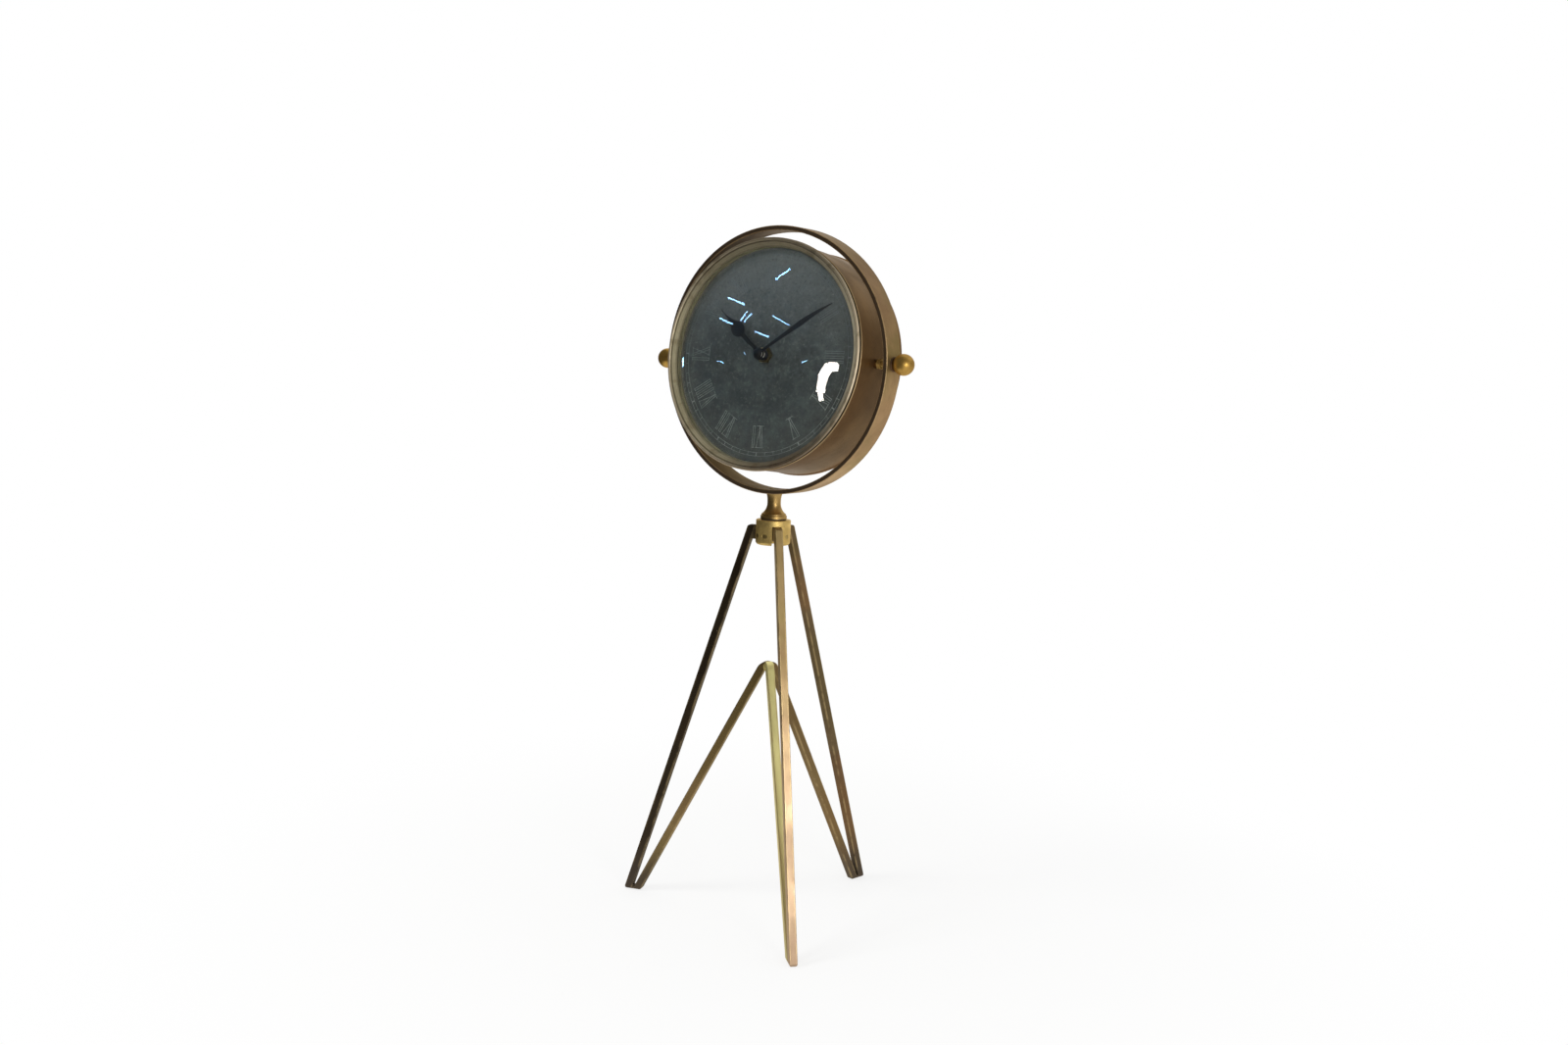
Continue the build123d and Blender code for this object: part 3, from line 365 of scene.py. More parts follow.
class ClockBrass(bpy.types.PropertyGroup):
    hoop: colour("Hoop", "Faces of the hoop's flat band", 172, 142, 100)
    # Hoop edge: painted shade on the hoop's edge faces; also a tarnish colour for the neck's shelf band and for
    # clouds on the collar nut and knob washers
    hoop_edge_shade_and_tarnish: colour("Hoop edge", "Tarnished edges of the hoop", 58, 45, 32)
    # Hoop top: painted shade on the top of the hoop's outer face
    hoop_top_shade: colour("Hoop top", "Outer face of the hoop toward its top", 98, 75, 54)
    # Hoop inside: painted shade on the upper left of the hoop's inner face
    hoop_inner_shade: colour("Hoop inside", "Dull upper left of the hoop's inner face", 46, 36, 27)
    # Hoop rims: rubbed rims, with a painted highlight on the outer rim of the right side
    hoop_rim_wear_and_highlight: colour("Hoop rims", "Rubbed rims of the hoop", 180, 150, 108)
    drum: colour("Drum", "Wall of the drum", 122, 92, 56)
    drum_dark: colour("Drum tarnish", "Dark clouds on the drum", 68, 51, 34)
    drum_warm: colour("Drum patches", "Warm patches on the drum", 112, 82, 56)
    # Drum underside: painted light on the underside of the drum
    drum_underside_light: colour("Drum underside", "Underside of the drum", 128, 100, 76)
    # Drum in the hoop: painted shade on the band of the drum inside the hoop
    drum_hoop_shade: colour("Drum in the hoop", "Dull belt of the drum behind the hoop", 54, 40, 27)
    # Drum bead: painted highlight on the rolled bead at the front of the drum
    bead: colour("Drum bead", "Rolled bead at the front of the drum", 190, 164, 124)
    # Gap: painted shadow in the gap between drum and bezel and on the rear of the bezel's roll
    gap: colour("Gap", "Dirt in the gap between drum and bezel", 16, 12, 9)
    bezel: colour("Bezel", "Rolled bezel", 204, 191, 160)
    bezel_dark: colour("Bezel tarnish", "Clouds and specks on the bezel", 124, 112, 84)
    # Bezel slope: painted light on the left part of the bezel's inner slope
    bezel_slope_light: colour("Bezel slope", "Left part of the bezel's inner slope", 142, 138, 108)
    # Bezel roll: painted highlight on the bezel's roll
    bezel_roll_highlight: colour("Bezel roll", "Rubbed roll of the bezel", 214, 196, 170)
    # Bezel groove: painted shade in the groove inside the roll
    bezel_groove_shade: colour("Bezel groove", "Groove inside the roll", 64, 54, 42)
    # Bezel low: painted shade on the lower right of the bezel
    bezel_low_shade: colour("Bezel low", "Lower right of the bezel", 78, 62, 46)
    # Bezel high: painted shade on the upper part of the bezel
    bezel_top_shade: colour("Bezel high", "Upper part of the bezel", 78, 70, 56)
    bezel_lip: colour("Bezel lip", "Lip at the glass", 96, 92, 74)
    sight: colour("Sight ring", "Stepped ring under the glass", 124, 120, 94)
    sight_dark: colour("Sight ring tarnish", "Clouds on the stepped ring", 90, 86, 68)
    neck: colour("Neck", "Turned neck", 172, 142, 88)
    neck_dark: colour("Neck tarnish", "Clouds on the neck", 140, 114, 66)
    hub: colour("Hub", "Slotted hub, its pins and the nuts at the pivots", 230, 198, 122)
    hub_dark: colour("Hub tarnish", "Clouds on the hub", 158, 132, 76)
    leg: colour("Legs", "Bright stretches of the leg bars", 170, 144, 102)
    leg_dark: colour("Legs tarnish", "Dull stretches of the leg bars", 112, 90, 58)
    # Legs dull: painted shade over the outer bars, strongest on the left leg
    leg_painted_shade: colour("Legs dull", "Dullest tarnish on the outer bars", 44, 36, 26)
    leg_rosy: colour("Legs rosy", "Reddest patches on the leg bars", 132, 92, 56)
    leg_foot: colour("Feet", "Dirt on the feet", 66, 57, 48)
    leg_edge: colour("Legs edges", "Rubbed edges of the leg bars", 206, 180, 128)
    braze: colour("Braze", "Brazing metal between the inner arms", 206, 190, 118)
    rose: colour("Rosy tarnish", "Reddish patches on bars and bands", 146, 112, 82)
    olive: colour("Olive tarnish", "Green-brown patches on bars and bands", 132, 118, 70)
    knob: colour("Knobs", "Ball knobs", 186, 148, 74)
    knob_dark: colour("Knobs tarnish", "Clouds on the ball knobs", 108, 78, 40)
    # Knob root: painted shade at the root of each ball knob, where it meets the hoop
    knob_root_shade: colour("Knob root", "Dark root of each ball knob", 92, 60, 40)
    # Knob washers: dark brown that stands for the shade between ball knob and hoop, painted shade
    knob_washer: colour("Knob washers", "Washers between ball knobs and hoop", 96, 68, 46)
    collar: colour("Collar nut", "Nut and arbor under the hands", 128, 118, 88)
    roughness: share("Roughness", "How matt the brass is", 0.36)


class ClockDial(bpy.types.PropertyGroup):
    face: colour("Face", "Slate of the dial", 49, 53, 51)
    face_pale: colour("Face mottling", "Paler clouds on the dial", 74, 78, 76)
    face_high: colour("Face top", "Upper part of the dial", 96, 100, 99)
    face_rim: colour("Face rim", "Dial toward its rim", 84, 83, 76)
    grit: colour("Grit", "Pale grit of the slate", 108, 110, 106)
    grit_dark: colour("Dark grit", "Dark grit of the slate", 32, 36, 35)
    dust: colour("Dust", "Specks of dust on the dial", 140, 140, 132)
    mark: colour("Marks", "Lower numerals and minute track", 122, 126, 119)
    mark_high: colour("Upper marks", "Worn upper numerals and minute track", 72, 78, 78)
    glass: colour("Glass", "Clear glass", 251, 253, 252)
    smear: colour("Smears", "Faint smears on the glass", 243, 246, 245)
    face_height: length("Face", "Dial face in front of the pivots", 0.0175)
    numeral_radius: length("Numerals", "Middle of the numerals from the centre", 0.0605)
    numeral_height: length("Numeral height", "Height of the numerals", 0.016)
    stroke: length("Broad stroke", "Between the two lines that outline a broad stroke", 0.0016)
    hairline: length("Thin stroke", "Lines of the numerals", 0.00036)
    track_radius: length("Minute track", "Inner circle of the minute track", 0.0722)
    track_width: length("Track width", "Between the two circles of the minute track", 0.0026)
    line: length("Line width", "Width of the circles and ticks", 0.00028)
    ink: length("Ink", "Thickness of the print", 0.00004)
    ticks: IntProperty(name="Ticks", description="Ticks round the minute track", default=60, min=12, max=120)


class ClockSmall(bpy.types.PropertyGroup):
    hand: colour("Hands", "Painted hands", 7, 7, 7)
    steel: colour("Steel", "Screws, studs and contacts", 150, 144, 132)
    washer: colour("Washers", "Blackened washers", 52, 42, 32)
    rubber: colour("Rubber", "Rubber washer", 30, 30, 30)
    housing: colour("Movement", "Moulded housing of the movement", 34, 35, 37)
    gear: colour("Wheels", "Moulded wheels and setting knob", 214, 208, 192)
    cell: colour("Cell", "Plain sleeve of the cell", 92, 96, 100)
    braze_reach: length("Braze", "Reach of the braze along the inner arms, from the corner between them", 0.0017)
    braze_top: length("Braze top", "Top of the braze over the floor", 0.1953)
    braze_foot: length("Braze foot", "Foot of the braze over the floor", 0.1898)


class ClockStage(bpy.types.PropertyGroup):
    azimuth: degrees("Azimuth", "Camera round the stand, from the front to the right", 35.016)
    distance: length("Distance", "Camera from the stand's axis", 1.06306)
    height: length("Height", "Camera over the floor", 0.41623)
    pan: degrees("Pan", "Camera's heading", 34.582)
    tilt: degrees("Tilt", "Camera's downward tilt", 6.023)
    roll: degrees("Roll", "Camera's roll", 2.021)
    lens: amount("Lens", "Focal length", 32.172, "CAMERA")
    floor: colour("Floor", "Pale floor", 244, 244, 242)
    strip: colour("Strip lights", "Cool strip lights in front", 150, 204, 255)
    strip_light: amount("Strip strength", "Strength of the strip lights", 44.0)
    panel: colour("Lit panel", "Lit panel in front", 255, 246, 238)
    panel_light: amount("Panel strength", "Strength of the lit panel", 38.0)
    fill: amount("World light", "Light of the world on the object", 0.7)
    key: amount("Key lamp", "Power of the key lamp", 17.0, "POWER")
    side: amount("Side lamp", "Power of the side lamp", 8.0, "POWER")


GROUPS = {"clock_brass": ClockBrass, "clock_dial": ClockDial, "clock_small": ClockSmall, "clock_stage": ClockStage}


# ---------------------------------------------------------------- finishes

def aging(finish, place, run, bright, dark, roughness, cloud_scale=38.0, cloud=0.75, speck=0.3):
    """Old brass: slow clouds of tarnish, small mottles, fine specks, and a grain along the place called run."""
    clouds = finish.ease(finish.noise(place, cloud_scale, 4, 0.6, 0.4), 0.34, 0.68)
    mottles = finish.ease(finish.noise(place, cloud_scale * 6, 4, 0.6), 0.36, 0.7)
    specks = finish.ease(finish.noise(place, cloud_scale * 30, 2, 0.5), 0.63, 0.76)
    streaks = finish.noise(run, cloud_scale * 20, 3, 0.6)
    base = finish.lay(
        bright, ((clouds * cloud + mottles * 0.2) * 0.8, dark), (specks * speck, scaled(dark, 0.5)),
        (finish.ease(streaks, 0.3, 0.7) * 0.3, scaled(bright, 1.12)))
    rough = roughness + clouds * 0.12 + specks * 0.12 + (streaks - 0.5) * 0.16
    height = streaks * 0.6 + mottles * 0.4 - specks * 0.5
    return base, rough, height


def aged_brass(name, bright, dark, roughness, grain=(1.0, 1.0, 1.0), **marks):
    """A new finish of old brass. Its streaks run along the axes with a small share of grain."""
    finish = Finish(name)
    place = finish.place()
    return finish, place, *aging(finish, place, finish.stretch(place, grain), bright, dark, roughness, **marks)


def end_brass(finish, base, rough, height, metal=0.8, strength=0.18):
    """Ends a brass: its film of tarnish scatters the share of light that the bare metal doesn't mirror."""
    return finish.surface({
        "Base Color": base, "Metallic": metal, "Roughness": rough, "Specular Tint": (0.9, 0.78, 0.6, 1),
        "Normal": finish.bump(height, strength, 0.0004)})


def plain_brass(name, bright, dark, roughness, metal=0.8, strength=0.18, **marks):
    """Old brass with nothing laid over it."""
    finish, _, *coat = aged_brass(name, bright, dark, roughness, **marks)
    return end_brass(finish, *coat, metal, strength)


def plain_steel(name, shade, roughness):
    """Dull steel of screws, studs and contacts."""
    finish = Finish(name)
    place = finish.place()
    grain = finish.noise(finish.stretch(place, (1.0, 1.0, 0.2)), 900, 3, 0.6)
    clouds = finish.ease(finish.noise(place, 240, 3, 0.6), 0.35, 0.7)
    return finish.surface({
        "Base Color": finish.mix(clouds, shade, scaled(shade, 0.6)), "Metallic": 1.0,
        "Roughness": roughness + grain * 0.2, "Normal": finish.bump(grain, 0.12, 0.0003)})


def painted(name, shade, roughness, scale=500.0, metallic=0.0):
    """A painted or moulded surface with a fine uneven skin."""
    finish = Finish(name)
    place = finish.place()
    skin = finish.noise(place, scale, 4, 0.6)
    clouds = finish.noise(place, scale / 8, 3, 0.6)
    return finish.surface({
        "Base Color": finish.mix(clouds, scaled(shade, 0.75), scaled(shade, 1.25)),
        "Metallic": metallic, "Roughness": roughness + (skin - 0.5) * 0.2, "Specular IOR Level": 0.3,
        "Normal": finish.bump(skin, 0.15, 0.0003)})


# ---------------------------------------------------------------- operators

class CLOCK_OT_hoop(bpy.types.Operator):
    """Dress the hoop: a worn satin band with painted shade on its edges"""
    bl_idname = "clock.hoop"
    bl_label = "Hoop"

    def execute(self, context):
        brass = context.scene.clock_brass
        finish, place, base, rough, height = aged_brass(
            "hoop_brass", brass.hoop, brass.drum_dark, brass.roughness + 0.04, cloud_scale=22, cloud=0.4,
            grain=(0.12, 3.0, 0.12))
        right, back, up = finish.parts(place)
        radius = reach(right, up - PIVOT_HEIGHT)
        worn = finish.ease(finish.noise(place, 60, 3, 0.6), 0.3, 0.5)
        inside = 1 - finish.ease(radius, 0.0968, 0.0972)
        low = 1 - finish.ease(up, 0.34, 0.37)
        high = finish.ease(up, 0.43, 0.5)
        rosy = finish.ease(up, 0.44, 0.5)
        shaded_upper_left = finish.ease(up, 0.35, 0.42) * (1 - finish.ease(right, -0.04, 0.03))
        edge = finish.ease(abs(back), 0.00915, 0.00935)
        inner_rim = 1 - finish.ease(radius, 0.0969, 0.0971)
        # painted highlight: the outer rim lightens only on the right side
        outer_rim_highlight = finish.ease(radius, 0.0994, 0.0996) * finish.ease(right, -0.06, 0.0)
        rim = finish.ease(abs(back), 0.0089, 0.0091) * (inner_rim + outer_rim_highlight)
        base = finish.lay(
            base,
            (finish.patches(place, 24) * 0.6, brass.olive),
            (finish.patches(finish.stretch(place, (1, 1, -1)), 16) * 0.35, brass.rose),
            (inside * low * 0.5, brass.olive),
            (inside * rosy * 0.4, brass.rose),
            # painted shade: outer face darker toward the top
            ((1 - inside) * high * 0.75, brass.hoop_top_shade),
            # painted shade on the upper left of the inner face
            (inside * shaded_upper_left * 0.9, brass.hoop_inner_shade),
            # painted shade: the hoop's edge faces darkened all round
            (edge * 0.97, brass.hoop_edge_shade_and_tarnish),
            # rubbed wear on both rims, and a painted highlight on the outer rim at the right
            (rim * (0.25 + worn * 0.4), brass.hoop_rim_wear_and_highlight))
        wear(end_brass(finish, base, rough + edge * 0.15, height, 0.75 - edge * 0.35, 0.08), "hoop")
        wear(plain_steel("hoop_screw_steel", context.scene.clock_small.steel, 0.35), "hoop_screw")
        return {"FINISHED"}


class CLOCK_OT_neck(bpy.types.Operator):
    """Dress the turned neck, its washer and the screws under it"""
    bl_idname = "clock.neck"
    bl_label = "Neck"

    def execute(self, context):
        brass = context.scene.clock_brass
        small = context.scene.clock_small
        finish, place, base, rough, height = aged_brass(
            "neck_brass", brass.neck, brass.neck_dark, brass.roughness - 0.02, cloud_scale=70, cloud=0.8,
            grain=(0.2, 0.2, 3.0))
        shelf = finish.band(finish.parts(place)[2], 0.3096, 0.3112, 0.0006)
        base = finish.mix(shelf * 0.1, base, brass.hoop_edge_shade_and_tarnish)
        wear(end_brass(finish, base, rough, height, 0.92), "neck")
        wear(painted("neck_washer_black", small.washer, 0.6), "neck_washer")
        wear(plain_steel("swivel_steel", small.steel, 0.35), "swivel_screw", "swivel_spring_washer")
        return {"FINISHED"}


class CLOCK_OT_hub(bpy.types.Operator):
    """Dress the slotted hub and its cross pins"""
    bl_idname = "clock.hub"
    bl_label = "Hub"

    def execute(self, context):
        brass = context.scene.clock_brass
        finish, place, base, rough, height = aged_brass(
            "hub_brass", brass.hub, brass.hub_dark, brass.roughness + 0.02, cloud_scale=60, cloud=0.8,
            grain=(0.3, 0.3, 2.0))
        base = finish.mix(finish.patches(place, 110, 0.52, 0.64) * 0.25, base, scaled(brass.hub_dark, 0.6))
        wear(end_brass(finish, base, rough, height, 0.85, 0.1), "hub")
        wear(plain_steel("pin_brass", scaled(brass.hub, 0.7), 0.35), "leg_pins")
        return {"FINISHED"}


class CLOCK_OT_legs(bpy.types.Operator):
    """Dress the bent legs, and braze their inner arms together under the hub"""
    bl_idname = "clock.legs"
    bl_label = "Legs"

    def bar(self, brass, name, bearing, shaded, rosy, low_painted_light, low_share, arm_painted_light, foot_share):
        """A leg's brass: worn edges, painted shade over the outer bar, its own painted light low on the outer bar
        and on the inner arm, and a dark foot.
        """
        finish = Finish(name)
        place = finish.place()
        right, back, up = finish.parts(place)
        ahead, aside = math.cos(math.radians(bearing)), math.sin(math.radians(bearing))
        along = right * ahead + back * aside
        side = back * ahead - right * aside
        inner = finish.ease(LEG_SPLIT[0] - up * LEG_SPLIT[1] - along, -0.0008, 0.0008)
        outer_off = (along - OUTER_BAR[0] + up * OUTER_BAR[1]) * OUTER_BAR[2]
        inner_off = (along - INNER_ARM[0] + up * INNER_ARM[1]) * INNER_ARM[2]
        off = outer_off * (1 - inner) + inner_off * inner
        run = finish.node("ShaderNodeCombineXYZ", None, {0: side * 1.6, 1: off * 1.6, 2: up * 0.1})
        base, rough, height = aging(finish, place, run, scaled(brass.leg, 0.9), brass.leg_dark, brass.roughness,
                                    cloud_scale=26, cloud=0.6, speck=0.0)
        edge = finish.ease(abs(side) + abs(off), 0.0047, 0.0053)
        worn = finish.ease(finish.noise(place, 70, 3, 0.6), 0.36, 0.6)
        foot = 1 - finish.ease(up, 0.006, 0.05)
        low = 1 - finish.ease(up, 0.05, 0.24)
        base = finish.lay(
            base,
            (finish.patches(place, 17) * 0.45, brass.rose),
            (finish.patches(finish.stretch(place, (-1, 1, 1)), 20) * 0.45, brass.olive),
            # painted light low on each outer bar and on each inner arm: a painted highlight on the front leg,
            # painted shade on the back and left legs
            (low * (1 - inner) * low_share, low_painted_light),
            # painted shade over the whole outer bar, by each leg's share
            ((1 - inner) * shaded, brass.leg_painted_shade),
            (finish.patches(finish.stretch(place, (1, -1, 1)), 14) * rosy, brass.leg_rosy),
            (inner * (0.55 + finish.ease(up, 0.04, 0.16) * 0.35), arm_painted_light),
            (foot * foot_share, brass.leg_foot),
            (edge * worn * (0.5 - shaded * 0.3), brass.leg_edge))
        return end_brass(finish, base, rough + foot * 0.1 - edge * 0.05, height, 0.8 - foot * 0.2, 0.02)

    def braze(self, small, material):
        """Fills the upright corners where the three inner arms meet."""
        shape = bmesh.new()
        corner = BAR_WIDTH / 2 / math.cos(math.radians(30))
        span = small.braze_top - small.braze_foot
        count = BRAZE_POINTS + 1
        for bearing, *_ in LEGS.values():
            ways = [math.radians(bearing + turn) for turn in (0, 60, 120)]
            first, middle, last = [Vector((math.cos(way), math.sin(way), 0)) for way in ways]
            rows = []
            for step in range(BRAZE_ROWS):
                rise = step / (BRAZE_ROWS - 1)
                swell = math.sin(math.pi * min(max(rise, 0.06), 0.94)) ** 0.5
                spread = small.braze_reach * (BRAZE_END + (1 - BRAZE_END) * swell)
                heart = middle * corner + Vector((0, 0, small.braze_foot + span * rise))
                row = [heart - middle * BRAZE_SINK]
                for turn in range(BRAZE_POINTS):
                    swing = turn / (BRAZE_POINTS - 1)
                    chord = first * (1 - swing) + last * swing
                    row.append(heart + chord * spread * (1 - BRAZE_HOLLOW * math.sin(math.pi * swing)))
                rows.append([shape.verts.new(point) for point in row])
            for low, high in zip(rows, rows[1:]):
                for turn in range(count):
                    following = (turn + 1) % count
                    shape.faces.new((low[turn], low[following], high[following], high[turn]))
            shape.faces.new(rows[0][::-1])
            shape.faces.new(rows[-1])
        mesh = to_mesh(shape, "apex_braze")
        for face in mesh.polygons:
            face.use_smooth = True
        piece("apex_braze", mesh, material, "base")

    def execute(self, context):
        brass = context.scene.clock_brass
        for name, leg in LEGS.items():
            wear(self.bar(brass, f"{name}_brass", *leg), name)
        self.braze(context.scene.clock_small, plain_brass(
            "braze_brass", brass.braze, brass.leg_dark, 0.34, 0.75, 0.3, cloud_scale=160))
        return {"FINISHED"}


class CLOCK_OT_pivots(bpy.types.Operator):
    """Dress the pivots: bosses, studs, nuts, sleeves, washers and ball knobs"""
    bl_idname = "clock.pivots"
    bl_label = "Pivots"

    def execute(self, context):
        brass = context.scene.clock_brass
        small = context.scene.clock_small
        finish, place, base, rough, height = aged_brass(
            "ball_brass", brass.knob, brass.knob_dark, brass.roughness - 0.02, cloud_scale=60, cloud=0.5,
            speck=0.15)
        # painted shade round the root of the ball, next to the hoop
        root = 1 - finish.ease(abs(finish.parts(place)[0]), 0.102, 0.105)
        base = finish.mix(root * 0.7, base, brass.knob_root_shade)
        wear(end_brass(finish, base, rough, height, 0.85, 0.08), "ball_knobs")
        wear(plain_brass("nut_brass", brass.hub, brass.knob_dark, brass.roughness, 0.8, 0.1, cloud_scale=160,
                         cloud=0.8), "lock_nuts", "spacer_sleeves")
        wear(plain_brass("boss_brass", brass.drum, brass.drum_dark, brass.roughness, cloud_scale=60), "pivot_bosses")
        wear(plain_steel("stud_steel", small.steel, 0.32), "pivot_studs")
        # the washers' dark brown is painted shade between ball knob and hoop
        wear(plain_brass("washer_brass", brass.knob_washer, brass.hoop_edge_shade_and_tarnish, 0.5, 0.5, 0.1, cloud_scale=120),
             "knob_washers")
        return {"FINISHED"}


class CLOCK_OT_case(bpy.types.Operator):
    """Dress the spun drum, its bezel, back cover, lugs and screws"""
    bl_idname = "clock.case"
    bl_label = "Case"

    def drum(self, brass):
        """The drum's brass: a painted highlight on the front bead, painted shade on the band inside the hoop, a
        painted shadow in the gap at the bezel and painted light on the underside.
        """
        finish, place, base, rough, height = aged_brass(
            "drum_brass", brass.drum, brass.drum_dark, brass.roughness + 0.02, cloud_scale=20, cloud=0.6,
            grain=(0.15, 4.0, 0.15))
        right, back, up = finish.parts(finish.drum_place())
        # painted light on the underside of the drum
        low = 1 - finish.ease(up, -0.08, -0.05)
        # painted shade on the band of the drum inside the hoop
        belt = finish.ease(back, -0.012, 0.012) * (1 - finish.ease(back, 0.02, 0.034))
        # painted highlight on the front bead
        bead = 1 - finish.ease(back, -0.0216, -0.0210)
        # painted shadow in the gap between drum and bezel
        gap = (1 - finish.ease(back, -0.0230, -0.0226)) * (1 - finish.ease(reach(right, up), 0.0859, 0.0863))
        base = finish.lay(
            base, (finish.patches(place, 14) * 0.3, brass.drum_warm), (low * 0.3, brass.drum_underside_light),
            (belt * 0.45, brass.drum_hoop_shade), (bead * 0.6, brass.bead), (gap * 0.95, brass.gap))
        return end_brass(finish, base, rough, height, 0.75 - gap * 0.5)

    def cover(self, brass):
        """The back cover's brass, with the fine rings of its turning."""
        finish, _, base, rough, height = aged_brass(
            "cover_brass", brass.drum, brass.drum_dark, brass.roughness, cloud_scale=24, cloud=0.6)
        right, _, up = finish.parts(finish.drum_place())
        turning = finish.lines(reach(right, up), 900)
        return end_brass(finish, base, rough + (turning - 0.5) * 0.2, height * 0.5 + turning, 0.8, 0.12)

    def bezel(self, brass):
        """The bezel's brass: rolled edge, groove, slope and lip, with painted light and shade on them and a painted
        shadow behind the roll.
        """
        finish, place, base, rough, height = aged_brass(
            "bezel_brass", brass.bezel, brass.bezel_dark, brass.roughness + 0.02, cloud_scale=30, cloud=0.45,
            speck=0.5)
        right, back, up = finish.parts(finish.drum_place())
        radius = reach(right, up)
        turning = finish.lines(radius, 1500)
        groove = finish.band(radius, 0.0832, 0.0838, 0.0003)
        roll = finish.ease(radius, 0.0840, 0.0843)
        lip = 1 - finish.ease(radius, 0.0806, 0.0812)
        # the rear of the roll, next to the gap, which gets a painted shadow
        behind = finish.ease(back, -0.0259, -0.0253) * finish.ease(radius, 0.0838, 0.0841)
        left = finish.ease(0 - right, -0.06, 0.04)
        high = finish.ease(up, 0.02, 0.08)
        shaded_low_right = (1 - finish.ease(up, -0.08, 0.0)) * finish.ease(right, -0.06, 0.03)
        base = finish.lay(
            base,
            # painted light on the left of the inner slope
            ((1 - roll) * left * 0.5, brass.bezel_slope_light),
            # painted highlight on the roll
            (roll * 0.5, brass.bezel_roll_highlight),
            (finish.ease(turning, 0.52, 0.66) * 0.3, brass.bezel_dark),
            (finish.patches(place, 90, 0.54, 0.66) * 0.5, brass.bezel_dark),
            # painted shade in the groove
            (groove * 0.5, brass.bezel_groove_shade),
            # painted shade on the lower right
            (shaded_low_right * 0.85, brass.bezel_low_shade),
            # painted shade toward the top
            (high * 0.6, brass.bezel_top_shade),
            (lip * 0.4, brass.bezel_lip),
            # painted shadow behind the roll
            (behind * 0.95, brass.gap))
        metal = 0.55 + roll * 0.15 - behind * 0.5
        return end_brass(finish, base, rough + (turning - 0.5) * 0.15, height * 0.7 + turning * 0.5, metal, 0.12)

    def execute(self, context):
        brass = context.scene.clock_brass
        wear(self.drum(brass), "case_shell", "cover_lugs")
        wear(self.cover(brass), "back_cover")
        wear(plain_steel("cover_screw_steel", context.scene.clock_small.steel, 0.35), "cover_screws")
        wear(self.bezel(brass), "bezel")
        wear(plain_brass("sight_ring_brass", brass.sight, brass.sight_dark, 0.5, 0.2, cloud_scale=40), "sight_ring")
        return {"FINISHED"}


class CLOCK_OT_glass(bpy.types.Operator):
    """Dress the domed glass"""
    bl_idname = "clock.glass"
    bl_label = "Glass"

    def execute(self, context):
        dial = context.scene.clock_dial
        finish = Finish("clear_glass")
        smears = finish.ease(finish.noise(finish.place(), 30, 3, 0.6, 0.6), 0.5, 0.8)
        wear(finish.surface({
            "Base Color": finish.mix(smears, dial.glass, dial.smear), "Roughness": 0.0,
            "IOR": 1.46, "Specular IOR Level": 1.0, "Transmission Weight": 1.0}), "glass")
        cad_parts["glass"].visible_shadow = False
        return {"FINISHED"}


